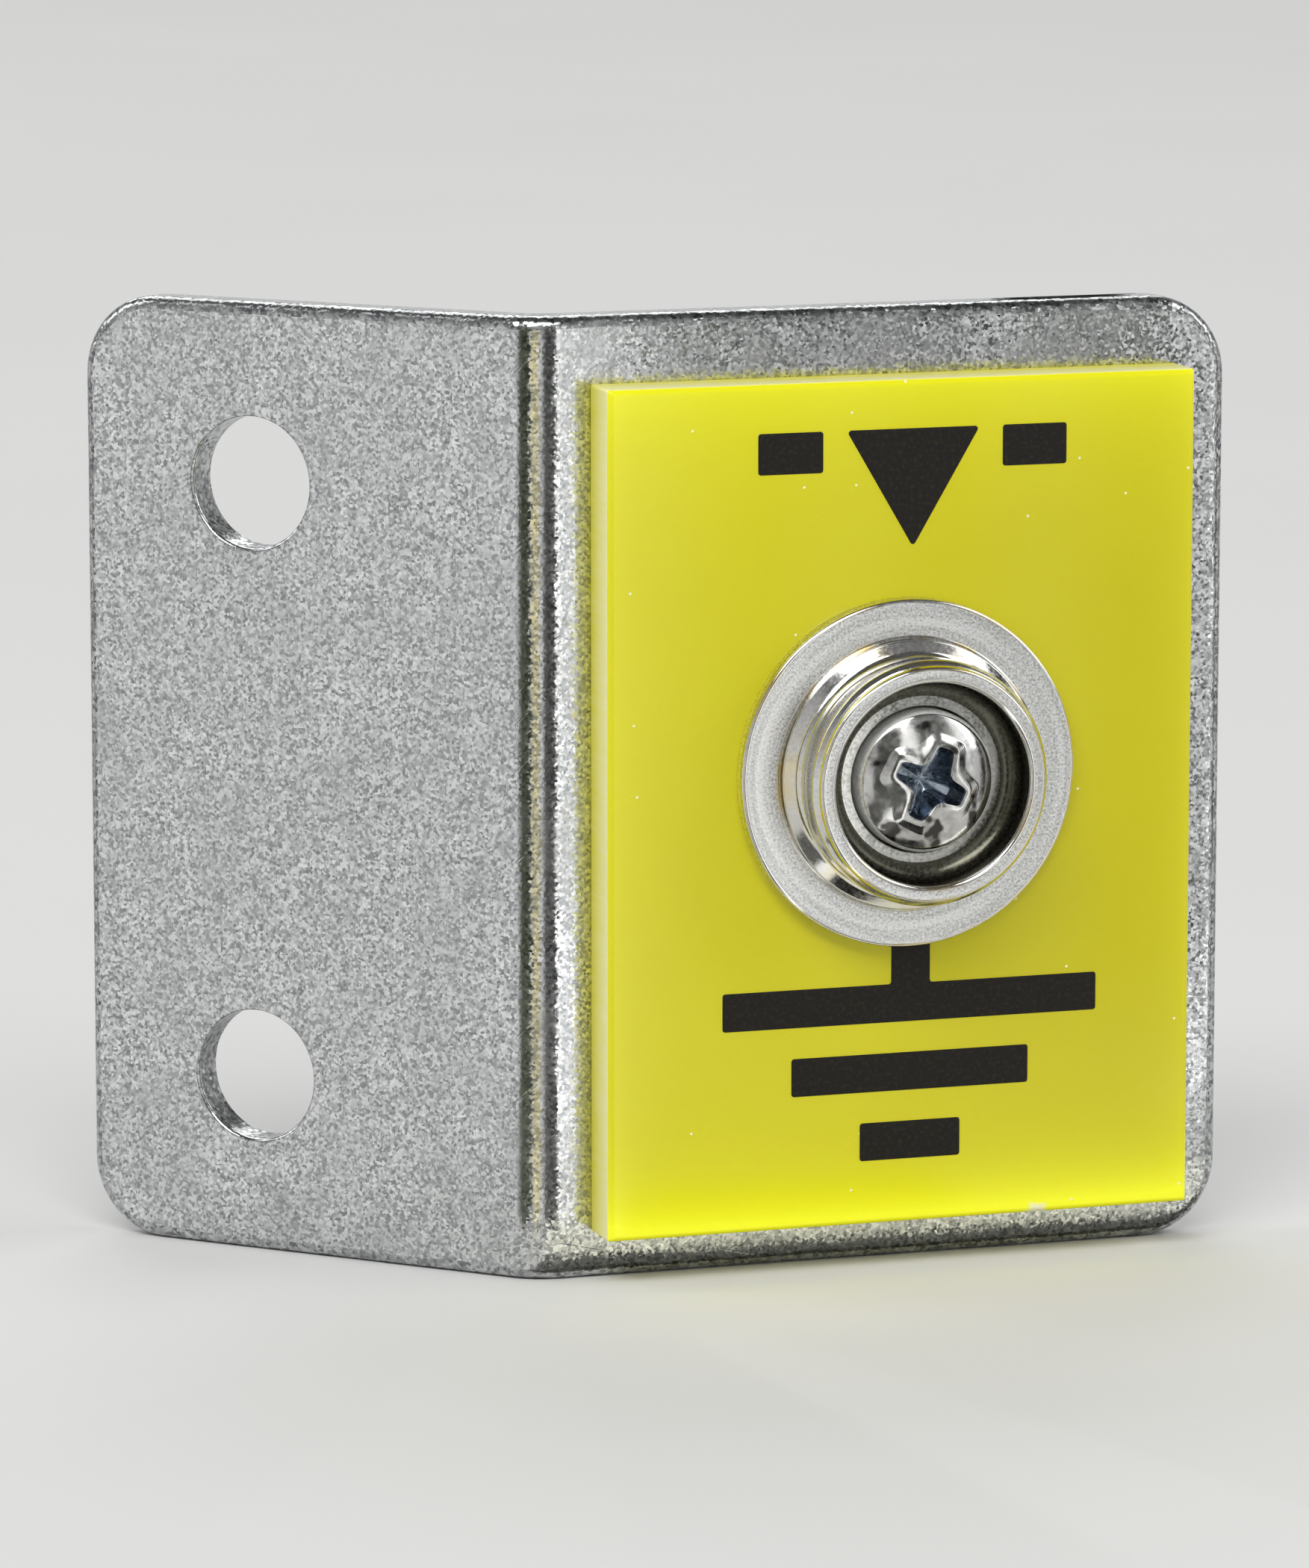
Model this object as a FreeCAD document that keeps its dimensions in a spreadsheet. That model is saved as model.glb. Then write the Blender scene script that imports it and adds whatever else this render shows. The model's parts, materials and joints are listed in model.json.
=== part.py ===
"""ESD connection point: a ten millimetre snap stud on a labelled, zinc plated steel angle.

A screw clamps the stud and the plastic label to the plate side of the bent sheet. A toothed
washer and a nut hold the screw at the back. The other side of the sheet is the fixing flange.

Frame, in millimetres: +Z is up and the origin is the middle of the two fixing holes, on the
flange's outer face, which looks along -Y. The plate turns back from the flange towards +X.
"""
import FreeCAD
import Part
import Sketcher
import math
import os

# Driving dimensions: alias, value in millimetres, degrees or pieces, meaning
DIMENSIONS = [
    ("bracket_height", 40.0, "height of the bent sheet"),
    ("plate_width", 29.0, "flat of the plate, from the bend to its free edge"),
    ("sheet_thickness", 1.5, "steel sheet"),
    ("bend_radius", 1.5, "inside of the bend"),
    ("bend_angle", 45.0, "turn between flange and plate"),
    ("corner_radius", 3.3, "free corners of the sheet"),
    ("edge_roll", 0.4, "edge drawn round by the punch on the outer side"),
    ("hole_to_bend", 12.0, "from the fixing holes to the start of the bend"),
    ("hole_to_edge", 8.0, "from the fixing holes to the flange's free edge"),
    ("hole_pitch", 25.0, "between the two fixing holes"),
    ("hole_diameter", 5.5, "fixing hole"),
    ("label_left_margin", 1.2, "from the bend to the label"),
    ("label_right_margin", 2.3, "from the label to the plate's free edge"),
    ("label_top_margin", 2.8, "from the label to the plate's top"),
    ("label_bottom_margin", 2.0, "from the label to the plate's bottom"),
    ("label_thickness", 2.4, "label stock"),
    ("label_bevel", 0.3, "broken front edge of the label"),
    ("stud_rise", 1.0, "stud axis above the middle of the sheet"),
    ("snap_diameter", 10.2, "snap head that the socket grips"),
    ("snap_depth", 0.35, "neck inside the snap head, on the radius"),
    ("neck_height", 1.15, "narrowest point of the neck above the foot"),
    ("snap_height", 1.75, "start of the snap head above the foot"),
    ("rim_height", 3.0, "rim of the stud above the foot"),
    ("rim_wall", 0.9, "wall of the snap head outside the recess"),
    ("rim_step", 0.25, "rim inside the snap head, on the radius"),
    ("rim_rise", 0.25, "rim above the slope of the snap head"),
    ("recess_depth", 1.6, "from the rim to the recess floor"),
    ("seat_depth", 0.7, "from the recess floor to the seat of the screw head"),
    ("seat_clearance", 0.25, "room round the screw head in its seat, on the radius"),
    ("collar_step", 0.5, "collar outside the snap head, on the radius"),
    ("collar_height", 0.3, "collar above the foot"),
    ("foot_reach", 1.65, "foot outside the collar, on the radius"),
    ("foot_thickness", 0.7, "flat foot of the stud"),
    ("foot_chamfer", 0.2, "top edge of the foot"),
    ("neck_round", 0.8, "hollow of the neck"),
    ("rim_break", 0.1, "outer edge of the rim"),
    ("rim_chamfer", 0.3, "inner edge of the rim"),
    ("floor_chamfer", 0.5, "slope between recess floor and wall"),
    ("screw_diameter", 3.0, "thread of the screw"),
    ("screw_clearance", 0.15, "room round the screw in its holes, on the radius"),
    ("screw_tail", 0.75, "screw end beyond the nut"),
    ("tail_chamfer", 0.4, "end of the screw"),
    ("head_diameter", 5.9, "pan head"),
    ("head_side", 1.35, "upright side of the head"),
    ("head_height", 2.05, "crown of the head above its seat"),
    ("head_chamfer", 0.25, "shoulder of the head"),
    ("cross_span", 3.3, "cross recess from tip to tip"),
    ("cross_width", 0.8, "arm of the cross recess"),
    ("cross_depth", 1.3, "cross recess"),
    ("cross_taper", 14.0, "draft of the cross recess"),
    ("cross_turn", 64.0, "an arm of the cross against the level"),
    ("washer_diameter", 6.6, "toothed washer"),
    ("washer_thickness", 0.45, "toothed washer"),
    ("washer_teeth", 10, "teeth round the washer"),
    ("tooth_gap", 0.75, "gap between teeth at the rim"),
    ("tooth_root_gap", 0.4, "gap between teeth at their root"),
    ("tooth_length", 0.9, "teeth, on the radius"),
    ("nut_flats", 5.5, "nut across its flats"),
    ("nut_height", 2.4, "nut"),
    ("nut_chamfer", 30.0, "slope that takes off the nut's corners"),
    ("thread_gap", 0.03, "between the thread flanks of nut and screw"),
]

# Sketcher's own numbers: its axes count down from the root point's, the points of a line or arc up
ROOT = -1
LEVEL_AXIS, UPRIGHT_AXIS = range(-1, -3, -1)
START, END, CENTRE = range(1, 4)

HALF_TURN = 180.0
FULL_TURN = 360.0
ON_EDGE = 90.0
HEX_SIDES = 6
LEAST = 1e-6

# A round takes at most this share of the wall that it is on
ROUND_SHARE = 0.45

# A cut runs this far past the piece that it cuts, in millimetres
OVERRUN = 0.2

# Places and sizes that follow from the driving dimensions
BEND_OUTSIDE = "(Sizes.bend_radius + Sizes.sheet_thickness)"
BEND_END_X = f"(Sizes.hole_to_bend + {BEND_OUTSIDE} * sin(Sizes.bend_angle))"
BEND_END_Y = f"({BEND_OUTSIDE} * (1 - cos(Sizes.bend_angle)))"
LABEL_WIDTH = "(Sizes.plate_width - Sizes.label_left_margin - Sizes.label_right_margin)"
STUD_ALONG = f"(Sizes.label_left_margin + {LABEL_WIDTH} / 2)"
SCREW_RADIUS = "(Sizes.screw_diameter / 2)"
HOLE_RADIUS = f"({SCREW_RADIUS} + Sizes.screw_clearance)"
HEAD_RADIUS = "(Sizes.head_diameter / 2)"
SEAT_RADIUS = f"({HEAD_RADIUS} + Sizes.seat_clearance)"
RIM_TOP = "(Sizes.foot_thickness + Sizes.rim_height)"
RECESS_FLOOR = f"({RIM_TOP} - Sizes.recess_depth)"
SEAT_LEVEL = f"({RECESS_FLOOR} - Sizes.seat_depth)"
SEAT_ABOVE_PLATE = f"(Sizes.label_thickness + {SEAT_LEVEL})"
STACK_BEHIND = "(Sizes.sheet_thickness + Sizes.washer_thickness + Sizes.nut_height)"

document = FreeCAD.newDocument("esd_connection_point")
sizes = document.addObject("Spreadsheet::Sheet", "Sizes")


def fill_sheet():
    """Writes each driving dimension to a row of the sheet and names its cell."""
    for row, (alias, value, meaning) in enumerate(DIMENSIONS, start=1):
        sizes.set(f"A{row}", alias)
        sizes.set(f"B{row}", str(value))
        sizes.set(f"C{row}", meaning)
        sizes.setAlias(f"B{row}", alias)
    document.recompute()


def number(expression):
    """The present value of an expression on the sheet."""
    return float(sizes.evalExpression(expression))


def on_plate(out):
    """Placement on the stud's axis, local +Z out of the plate, the foot `out` in front of it."""
    x = f"{BEND_END_X} + {STUD_ALONG} * cos(Sizes.bend_angle) + {out} * sin(Sizes.bend_angle)"
    y = f"{BEND_END_Y} + {STUD_ALONG} * sin(Sizes.bend_angle) - {out} * cos(Sizes.bend_angle)"
    return f"placement(vector({x}; {y}; Sizes.stud_rise); rotation(Sizes.bend_angle; 0; {ON_EDGE}))"


def new_body(name):
    """An empty body whose label names the piece."""
    body = document.addObject("PartDesign::Body", name)
    body.Label = name
    return body


def new_sketch(body, name, plane):
    """A sketch on one of the body's own origin planes."""
    sketch = body.newObject("Sketcher::SketchObject", name)
    support = next(item for item in body.Origin.OriginFeatures if item.Role == plane)
    sketch.AttachmentSupport = [(support, "")]
    sketch.MapMode = "FlatFace"
    return sketch


def size_constraint(sketch, constraint, expression):
    """Adds a dimension and binds it to an expression."""
    index = sketch.addConstraint(constraint)
    sketch.setExpression(f"Constraints[{index}]", expression)


def tie_point(sketch, line, point, x, y):
    """Ties a point of a line or arc to two expressions, measured from the root point."""
    for kind, axis, expression in (("DistanceX", UPRIGHT_AXIS, x), ("DistanceY", LEVEL_AXIS, y)):
        distance = number(expression)
        if abs(distance) < LEAST:
            sketch.addConstraint(Sketcher.Constraint("PointOnObject", line, point, axis))
        else:
            size_constraint(sketch, Sketcher.Constraint(kind, ROOT, START, line, point, distance), expression)


def draw_outline(sketch, corners, domed=None):
    """Draws a closed outline through corners given as expressions.

    The side that leaves corner `domed`, if any, is an arc with its centre on the upright axis.
    """
    places = [FreeCAD.Vector(number(x), number(y), 0) for x, y in corners]
    first = sketch.GeometryCount
    for index, place in enumerate(places):
        following = places[(index + 1) % len(places)]
        side = Part.LineSegment(place, following)
        if index == domed:
            rise = following.y - place.y
            radius = (place.x**2 + rise**2) / (2 * rise)
            circle = Part.Circle(FreeCAD.Vector(0, following.y - radius, 0), FreeCAD.Vector(0, 0, 1), radius)
            side = Part.ArcOfCircle(circle, math.asin((radius - rise) / radius), math.radians(ON_EDGE))
        sketch.addGeometry(side)
    for index, (x, y) in enumerate(corners):
        following = first + (index + 1) % len(corners)
        sketch.addConstraint(Sketcher.Constraint("Coincident", first + index, END, following, START))
        tie_point(sketch, first + index, START, x, y)
    if domed is not None:
        sketch.addConstraint(Sketcher.Constraint("PointOnObject", first + domed, CENTRE, UPRIGHT_AXIS))


def draw_circle(sketch, x, y, radius):
    """Draws a circle whose centre and radius are expressions."""
    centre = FreeCAD.Vector(number(x), number(y), 0)
    circle = sketch.addGeometry(Part.Circle(centre, FreeCAD.Vector(0, 0, 1), number(radius)))
    tie_point(sketch, circle, CENTRE, x, y)
    size_constraint(sketch, Sketcher.Constraint("Radius", circle, number(radius)), radius)


def pad(body, name, sketch, length, side="One side"):
    """Raises a sketch by a length given as an expression."""
    feature = body.newObject("PartDesign::Pad", name)
    feature.Profile = sketch
    feature.SideType = side
    feature.setExpression("Length", length)
    document.recompute()
    return feature


def pocket(body, name, sketch, depth, reversed_way=False):
    """Cuts a sketch into the body and makes sure that something came off."""
    before = body.Shape.Volume
    feature = body.newObject("PartDesign::Pocket", name)
    feature.Profile = sketch
    feature.Reversed = reversed_way
    feature.setExpression("Length", depth)
    document.recompute()
    if before - body.Shape.Volume < LEAST:
        raise RuntimeError(f"{name} cuts nothing")
    return feature


def turn(body, name, sketch, kind="PartDesign::Revolution"):
    """Turns a sketch, or cuts it as a groove, about the upright axis."""
    feature = body.newObject(kind, name)
    feature.Profile = sketch
    feature.ReferenceAxis = (sketch, ["V_Axis"])
    feature.Angle = FULL_TURN
    document.recompute()
    return feature


def edge_names(shape, wanted):
    """Names of the shape's edges for which `wanted` holds."""
    names = []
    for index, edge in enumerate(shape.Edges, start=1):
        if not edge.Degenerated and wanted(edge):
            names.append(f"Edge{index}")
    if not names:
        raise RuntimeError("no edge found to round")
    return names


def dress(body, kind, name, wanted, amount):
    """Rounds or chamfers the chosen edges of the body as it stands."""
    base = body.Tip
    feature = body.newObject(kind, name)
    feature.Base = (base, edge_names(base.Shape, wanted))
    feature.setExpression("Radius" if kind == "PartDesign::Fillet" else "Size", amount)
    document.recompute()
    return feature


def is_ring(radius, height):
    """A test for round edges about the local Z axis at a radius and height, as expressions."""
    goal_radius = number(radius)
    goal_height = number(height)

    def test(edge):
        if not isinstance(edge.Curve, Part.Circle):
            return False
        close = abs(edge.Curve.Radius - goal_radius) < LEAST
        return close and abs(edge.Curve.Center.z - goal_height) < LEAST

    return test


def draw_bent_sheet(sketch):
    """Draws the section of the sheet: flange, bend and plate, all of one thickness."""
    angle = math.radians(number("Sizes.bend_angle"))
    inside = number("Sizes.bend_radius")
    outside = number(BEND_OUTSIDE)
    along = FreeCAD.Vector(math.cos(angle), math.sin(angle), 0)
    inward = FreeCAD.Vector(-math.sin(angle), math.cos(angle), 0) * number("Sizes.sheet_thickness")
    upward = FreeCAD.Vector(0, number("Sizes.sheet_thickness"), 0)
    centre = FreeCAD.Vector(number("Sizes.hole_to_bend"), outside, 0)
    flange_edge = FreeCAD.Vector(-number("Sizes.hole_to_edge"), 0, 0)
    bend_start = FreeCAD.Vector(centre.x, 0, 0)
    bend_end = FreeCAD.Vector(number(BEND_END_X), number(BEND_END_Y), 0)
    plate_edge = bend_end + along * number("Sizes.plate_width")
    normal = FreeCAD.Vector(0, 0, 1)
    first_angle = -math.radians(ON_EDGE)
    outer_arc = Part.ArcOfCircle(Part.Circle(centre, normal, outside), first_angle, first_angle + angle)
    inner_arc = Part.ArcOfCircle(Part.Circle(centre, normal, inside), first_angle, first_angle + angle)
    flange_face = sketch.addGeometry(Part.LineSegment(flange_edge, bend_start))
    bend_face = sketch.addGeometry(outer_arc)
    plate_face = sketch.addGeometry(Part.LineSegment(bend_end, plate_edge))
    plate_end = sketch.addGeometry(Part.LineSegment(plate_edge, plate_edge + inward))
    plate_back = sketch.addGeometry(Part.LineSegment(plate_edge + inward, bend_end + inward))
    bend_back = sketch.addGeometry(inner_arc)
    flange_back = sketch.addGeometry(Part.LineSegment(bend_start + upward, flange_edge + upward))
    flange_end = sketch.addGeometry(Part.LineSegment(flange_edge + upward, flange_edge))
    for rule in (
        ("Tangent", flange_face, END, bend_face, START),
        ("Tangent", bend_face, END, plate_face, START),
        ("Coincident", plate_face, END, plate_end, START),
        ("Coincident", plate_end, END, plate_back, START),
        ("Tangent", plate_back, END, bend_back, END),
        ("Tangent", bend_back, START, flange_back, START),
        ("Coincident", flange_back, END, flange_end, START),
        ("Coincident", flange_end, END, flange_face, START),
        ("Coincident", bend_face, CENTRE, bend_back, CENTRE),
        ("PointOnObject", flange_face, START, LEVEL_AXIS),
        ("Horizontal", flange_face),
        ("Vertical", flange_end),
        ("Perpendicular", plate_face, plate_end),
    ):
        sketch.addConstraint(Sketcher.Constraint(*rule))
    for rule, expression in (
        (("DistanceX", ROOT, START, flange_face, START, flange_edge.x), "-Sizes.hole_to_edge"),
        (("DistanceX", ROOT, START, flange_face, END, bend_start.x), "Sizes.hole_to_bend"),
        (("Distance", plate_face, number("Sizes.plate_width")), "Sizes.plate_width"),
        (("Radius", bend_back, inside), "Sizes.bend_radius"),
        (("Radius", bend_face, outside), BEND_OUTSIDE),
        (("Angle", plate_face, angle), "Sizes.bend_angle"),
    ):
        size_constraint(sketch, Sketcher.Constraint(*rule), expression)


def build_bracket():
    """The sheet: blanked with round corners, punched, and bent into flange and plate."""
    body = new_body("mounting_bracket")
    section = new_sketch(body, "bent_section", "XY_Plane")
    draw_bent_sheet(section)
    pad(body, "bent_sheet", section, "Sizes.bracket_height", "Symmetric")
    thickness = number("Sizes.sheet_thickness")
    dress(
        body,
        "PartDesign::Fillet",
        "corner_rounds",
        lambda edge: abs(edge.Length - thickness) < LEAST,
        "Sizes.corner_radius",
    )
    free_edge_x = number(f"{BEND_END_X} + Sizes.plate_width * cos(Sizes.bend_angle)")
    free_edge_y = number(f"{BEND_END_Y} + Sizes.plate_width * sin(Sizes.bend_angle)")
    free_edge = Part.Vertex(FreeCAD.Vector(free_edge_x, free_edge_y, 0))
    dress(
        body,
        "PartDesign::Fillet",
        "rolled_edge",
        lambda edge: edge.distToShape(free_edge)[0] < LEAST,
        f"min(Sizes.edge_roll; Sizes.sheet_thickness * {ROUND_SHARE})",
    )
    fixing_holes = new_sketch(body, "fixing_hole_centres", "XZ_Plane")
    for height in ("Sizes.hole_pitch / 2", "-Sizes.hole_pitch / 2"):
        draw_circle(fixing_holes, "0", height, "Sizes.hole_diameter / 2")
    pocket(body, "fixing_holes", fixing_holes, "Sizes.sheet_thickness")
    stud_hole = new_sketch(body, "stud_hole_centre", "XZ_Plane")
    stud_hole.setExpression(
        "AttachmentOffset",
        f"placement(vector({BEND_END_X}; 0; -{BEND_END_Y}); rotation(vector(0; 1; 0); Sizes.bend_angle))",
    )
    draw_circle(stud_hole, STUD_ALONG, "Sizes.stud_rise", HOLE_RADIUS)
    pocket(body, "stud_hole", stud_hole, "Sizes.sheet_thickness")
    return body


def build_label():
    """The plastic label, with broken front edges and a hole for the screw."""
    body = new_body("label_plate")
    right = f"{LABEL_WIDTH} / 2"
    left = f"-{LABEL_WIDTH} / 2"
    top = "Sizes.bracket_height / 2 - Sizes.label_top_margin - Sizes.stud_rise"
    bottom = "-Sizes.bracket_height / 2 + Sizes.label_bottom_margin - Sizes.stud_rise"
    outline = new_sketch(body, "label_outline", "XY_Plane")
    draw_outline(outline, [(left, bottom), (right, bottom), (right, top), (left, top)])
    draw_circle(outline, "0", "0", HOLE_RADIUS)
    pad(body, "label_stock", outline, "Sizes.label_thickness")
    front = number("Sizes.label_thickness")
    dress(
        body,
        "PartDesign::Chamfer",
        "front_bevel",
        lambda edge: isinstance(edge.Curve, Part.Line) and abs(edge.CenterOfMass.z - front) < LEAST,
        "Sizes.label_bevel",
    )
    body.setExpression("Placement", on_plate("0"))
    return body


def build_stud():
    """The snap stud, turned in one piece: foot, collar, hollowed neck, snap head, rim and recess."""
    body = new_body("snap_stud")
    snap = "Sizes.snap_diameter / 2"
    rim = f"({snap} - Sizes.rim_step)"
    bore = f"({snap} - Sizes.rim_wall)"
    neck = f"{snap} - Sizes.snap_depth"
    collar = f"{snap} + Sizes.collar_step"
    foot = f"{collar} + Sizes.foot_reach"
    foot_top = "Sizes.foot_thickness"
    collar_top = f"{foot_top} + Sizes.collar_height"
    neck_level = f"{foot_top} + Sizes.neck_height"
    snap_level = f"{foot_top} + Sizes.snap_height"
    slope_top = f"{RIM_TOP} - Sizes.rim_rise"
    half_section = new_sketch(body, "stud_half_section", "XZ_Plane")
    draw_outline(
        half_section,
        [
            (HOLE_RADIUS, "0"),
            (foot, "0"),
            (foot, foot_top),
            (collar, foot_top),
            (collar, collar_top),
            (neck, neck_level),
            (snap, snap_level),
            (snap, f"{slope_top} - Sizes.rim_step"),
            (rim, slope_top),
            (rim, RIM_TOP),
            (bore, RIM_TOP),
            (bore, RECESS_FLOOR),
            (SEAT_RADIUS, RECESS_FLOOR),
            (SEAT_RADIUS, SEAT_LEVEL),
            (HOLE_RADIUS, SEAT_LEVEL),
        ],
    )
    turn(body, "turned_stud", half_section)
    rim_limit = f"(Sizes.rim_wall - Sizes.rim_step) * {ROUND_SHARE}"
    ledge_limit = f"({bore} - {SEAT_RADIUS}) * {ROUND_SHARE}"
    floor_slope = f"min(Sizes.floor_chamfer; {ledge_limit})"
    for kind, name, radius, level, amount in (
        ("PartDesign::Fillet", "neck_hollow", neck, neck_level, "Sizes.neck_round"),
        ("PartDesign::Chamfer", "rim_outside", rim, RIM_TOP, f"min(Sizes.rim_break; {rim_limit})"),
        ("PartDesign::Chamfer", "rim_inside", bore, RIM_TOP, f"min(Sizes.rim_chamfer; {rim_limit})"),
        ("PartDesign::Chamfer", "floor_slope", bore, RECESS_FLOOR, floor_slope),
        ("PartDesign::Chamfer", "foot_edge", foot, foot_top, "Sizes.foot_chamfer"),
    ):
        dress(body, kind, name, is_ring(radius, level), amount)
    body.setExpression("Placement", on_plate("Sizes.label_thickness"))
    return body


def build_screw():
    """The pan head screw with its cross recess, long enough to pass through the nut."""
    body = new_body("stud_screw")
    end = f"-({SEAT_ABOVE_PLATE} + {STACK_BEHIND} + Sizes.screw_tail)"
    half_section = new_sketch(body, "screw_half_section", "XZ_Plane")
    shoulder = (HEAD_RADIUS, "Sizes.head_side")
    corners = [
        ("0", end),
        (f"{SCREW_RADIUS} - Sizes.tail_chamfer", end),
        (SCREW_RADIUS, f"{end} + Sizes.tail_chamfer"),
        (SCREW_RADIUS, "0"),
        (HEAD_RADIUS, "0"),
        shoulder,
        ("0", "Sizes.head_height"),
    ]
    draw_outline(half_section, corners, domed=corners.index(shoulder))
    turn(body, "turned_screw", half_section)
    dress(body, "PartDesign::Chamfer", "head_shoulder", is_ring(*shoulder), "Sizes.head_chamfer")
    cross = new_sketch(body, "cross_outline", "XY_Plane")
    cross.setExpression(
        "AttachmentOffset",
        "placement(vector(0; 0; Sizes.head_height); rotation(vector(0; 0; 1); Sizes.cross_turn))",
    )
    tip = "Sizes.cross_span / 2"
    flank = "Sizes.cross_width / 2"
    draw_outline(
        cross,
        [
            (tip, f"-{flank}"),
            (tip, flank),
            (flank, flank),
            (flank, tip),
            (f"-{flank}", tip),
            (f"-{flank}", flank),
            (f"-{tip}", flank),
            (f"-{tip}", f"-{flank}"),
            (f"-{flank}", f"-{flank}"),
            (f"-{flank}", f"-{tip}"),
            (flank, f"-{tip}"),
            (flank, f"-{flank}"),
        ],
    )
    recess = pocket(body, "cross_recess", cross, "Sizes.cross_depth")
    recess.setExpression("TaperAngle", "-Sizes.cross_taper")
    document.recompute()
    body.setExpression("Placement", on_plate(SEAT_ABOVE_PLATE))
    return body


def build_washer():
    """The toothed washer, flattened between the sheet and the nut."""
    body = new_body("lock_washer")
    rim = "Sizes.washer_diameter / 2"
    ring = new_sketch(body, "washer_ring", "XY_Plane")
    draw_circle(ring, "0", "0", rim)
    draw_circle(ring, "0", "0", HOLE_RADIUS)
    pad(body, "washer_blank", ring, "Sizes.washer_thickness")
    gap = new_sketch(body, "tooth_gap_outline", "XY_Plane")
    root = f"{rim} - Sizes.tooth_length"
    draw_outline(
        gap,
        [
            (root, "-Sizes.tooth_root_gap / 2"),
            (f"{rim} + {OVERRUN}", "-Sizes.tooth_gap / 2"),
            (f"{rim} + {OVERRUN}", "Sizes.tooth_gap / 2"),
            (root, "Sizes.tooth_root_gap / 2"),
        ],
    )
    cut = pocket(body, "tooth_gap", gap, "Sizes.washer_thickness", reversed_way=True)
    teeth = body.newObject("PartDesign::PolarPattern", "teeth")
    teeth.Originals = [cut]
    teeth.Axis = (gap, ["N_Axis"])
    teeth.Angle = FULL_TURN
    teeth.setExpression("Occurrences", "Sizes.washer_teeth")
    body.Tip = teeth
    document.recompute()
    body.setExpression("Placement", on_plate("(-Sizes.sheet_thickness - Sizes.washer_thickness)"))
    return body


def build_nut():
    """The hexagon nut, with both ends turned to a slope."""
    body = new_body("hex_nut")
    inscribed = "Sizes.nut_flats / 2"
    corner = f"({inscribed} / cos({HALF_TURN} / {HEX_SIDES}))"
    hexagon = new_sketch(body, "hexagon", "XY_Plane")
    turns = [f"({FULL_TURN} * {side} / {HEX_SIDES})" for side in range(HEX_SIDES)]
    draw_outline(hexagon, [(f"{corner} * cos{angle}", f"{corner} * sin{angle}") for angle in turns])
    draw_circle(hexagon, "0", "0", f"{SCREW_RADIUS} + Sizes.thread_gap")
    pad(body, "nut_blank", hexagon, "Sizes.nut_height")
    slope = new_sketch(body, "corner_slopes", "XZ_Plane")
    outside = f"({corner} + {OVERRUN})"
    fall = f"({outside} - {inscribed}) * tan(Sizes.nut_chamfer)"
    draw_outline(slope, [(inscribed, "0"), (outside, "0"), (outside, fall)])
    top = "Sizes.nut_height"
    draw_outline(slope, [(inscribed, top), (outside, f"{top} - {fall}"), (outside, top)])
    turn(body, "turned_corners", slope, "PartDesign::Groove")
    body.setExpression("Placement", on_plate(f"-{STACK_BEHIND}"))
    return body


def check_and_write(bodies):
    """Stops if anything failed, then writes each piece to its own file."""
    document.recompute()
    for item in document.Objects:
        if "Invalid" in item.State or "Error" in item.State:
            raise RuntimeError(f"{item.Label} failed: {item.State}")
    os.makedirs("parts", exist_ok=True)
    for body in bodies:
        if body.Shape.isNull() or not body.Shape.isValid():
            raise RuntimeError(f"{body.Label} has no valid shape")
        print(f"{body.Label}: {len(body.Shape.Solids)} solid, {body.Shape.Volume:.2f} cubic millimetres")
    for body in bodies:
        body.Shape.exportStep(f"parts/{body.Label}.step")


fill_sheet()
check_and_write(
    [build_bracket(), build_label(), build_stud(), build_screw(), build_washer(), build_nut()]
)
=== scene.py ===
"""Looks of the ESD connection point: a snap stud on a labelled, zinc plated steel angle.

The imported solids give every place. Each one is stood for by a finer mesh of the same form, with
broken edges, a cut thread and a finish drawn by nodes. Sizes are in millimetres.
"""

import json
import logging
import math
from dataclasses import dataclass, field
from enum import Enum, IntEnum
from functools import partial
from typing import Callable, Optional, Sequence, Union

import bmesh
import bpy
from mathutils import Matrix, Vector, noise
from mathutils.geometry import delaunay_2d_cdt


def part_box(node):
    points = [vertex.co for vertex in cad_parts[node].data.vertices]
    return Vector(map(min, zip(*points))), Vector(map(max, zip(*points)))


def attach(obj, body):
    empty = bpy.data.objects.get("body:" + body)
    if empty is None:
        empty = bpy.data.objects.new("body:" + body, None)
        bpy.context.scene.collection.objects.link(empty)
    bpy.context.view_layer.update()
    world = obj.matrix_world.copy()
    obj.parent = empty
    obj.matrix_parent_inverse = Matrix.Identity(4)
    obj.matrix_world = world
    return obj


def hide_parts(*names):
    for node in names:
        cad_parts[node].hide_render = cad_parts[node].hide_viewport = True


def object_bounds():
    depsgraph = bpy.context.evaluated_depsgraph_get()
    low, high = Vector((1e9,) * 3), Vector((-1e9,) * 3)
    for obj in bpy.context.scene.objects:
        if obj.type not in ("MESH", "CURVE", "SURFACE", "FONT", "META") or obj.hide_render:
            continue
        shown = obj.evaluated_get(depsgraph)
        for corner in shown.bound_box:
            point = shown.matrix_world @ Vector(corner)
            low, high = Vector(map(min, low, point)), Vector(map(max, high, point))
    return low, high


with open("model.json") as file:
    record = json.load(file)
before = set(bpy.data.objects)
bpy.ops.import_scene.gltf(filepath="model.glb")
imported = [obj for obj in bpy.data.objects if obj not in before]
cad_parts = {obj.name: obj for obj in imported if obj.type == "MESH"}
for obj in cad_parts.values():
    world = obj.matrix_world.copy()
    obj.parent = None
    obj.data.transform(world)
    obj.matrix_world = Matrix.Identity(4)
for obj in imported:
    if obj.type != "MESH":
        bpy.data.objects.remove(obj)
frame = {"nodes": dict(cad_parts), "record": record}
cad_low, cad_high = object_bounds()

MM = 0.001
BODY = "root"
IMAGE_WIDTH = 1753
IMAGE_HEIGHT = 2100
FULL_TURN = 2 * math.pi
QUARTER_TURN = math.pi / 2
UP = Vector((0.0, 0.0, 1.0))
SHARP_ANGLE = math.radians(38)
EDGE_WANDER_PER_MM = 0.35
TINY = 1e-6
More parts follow.
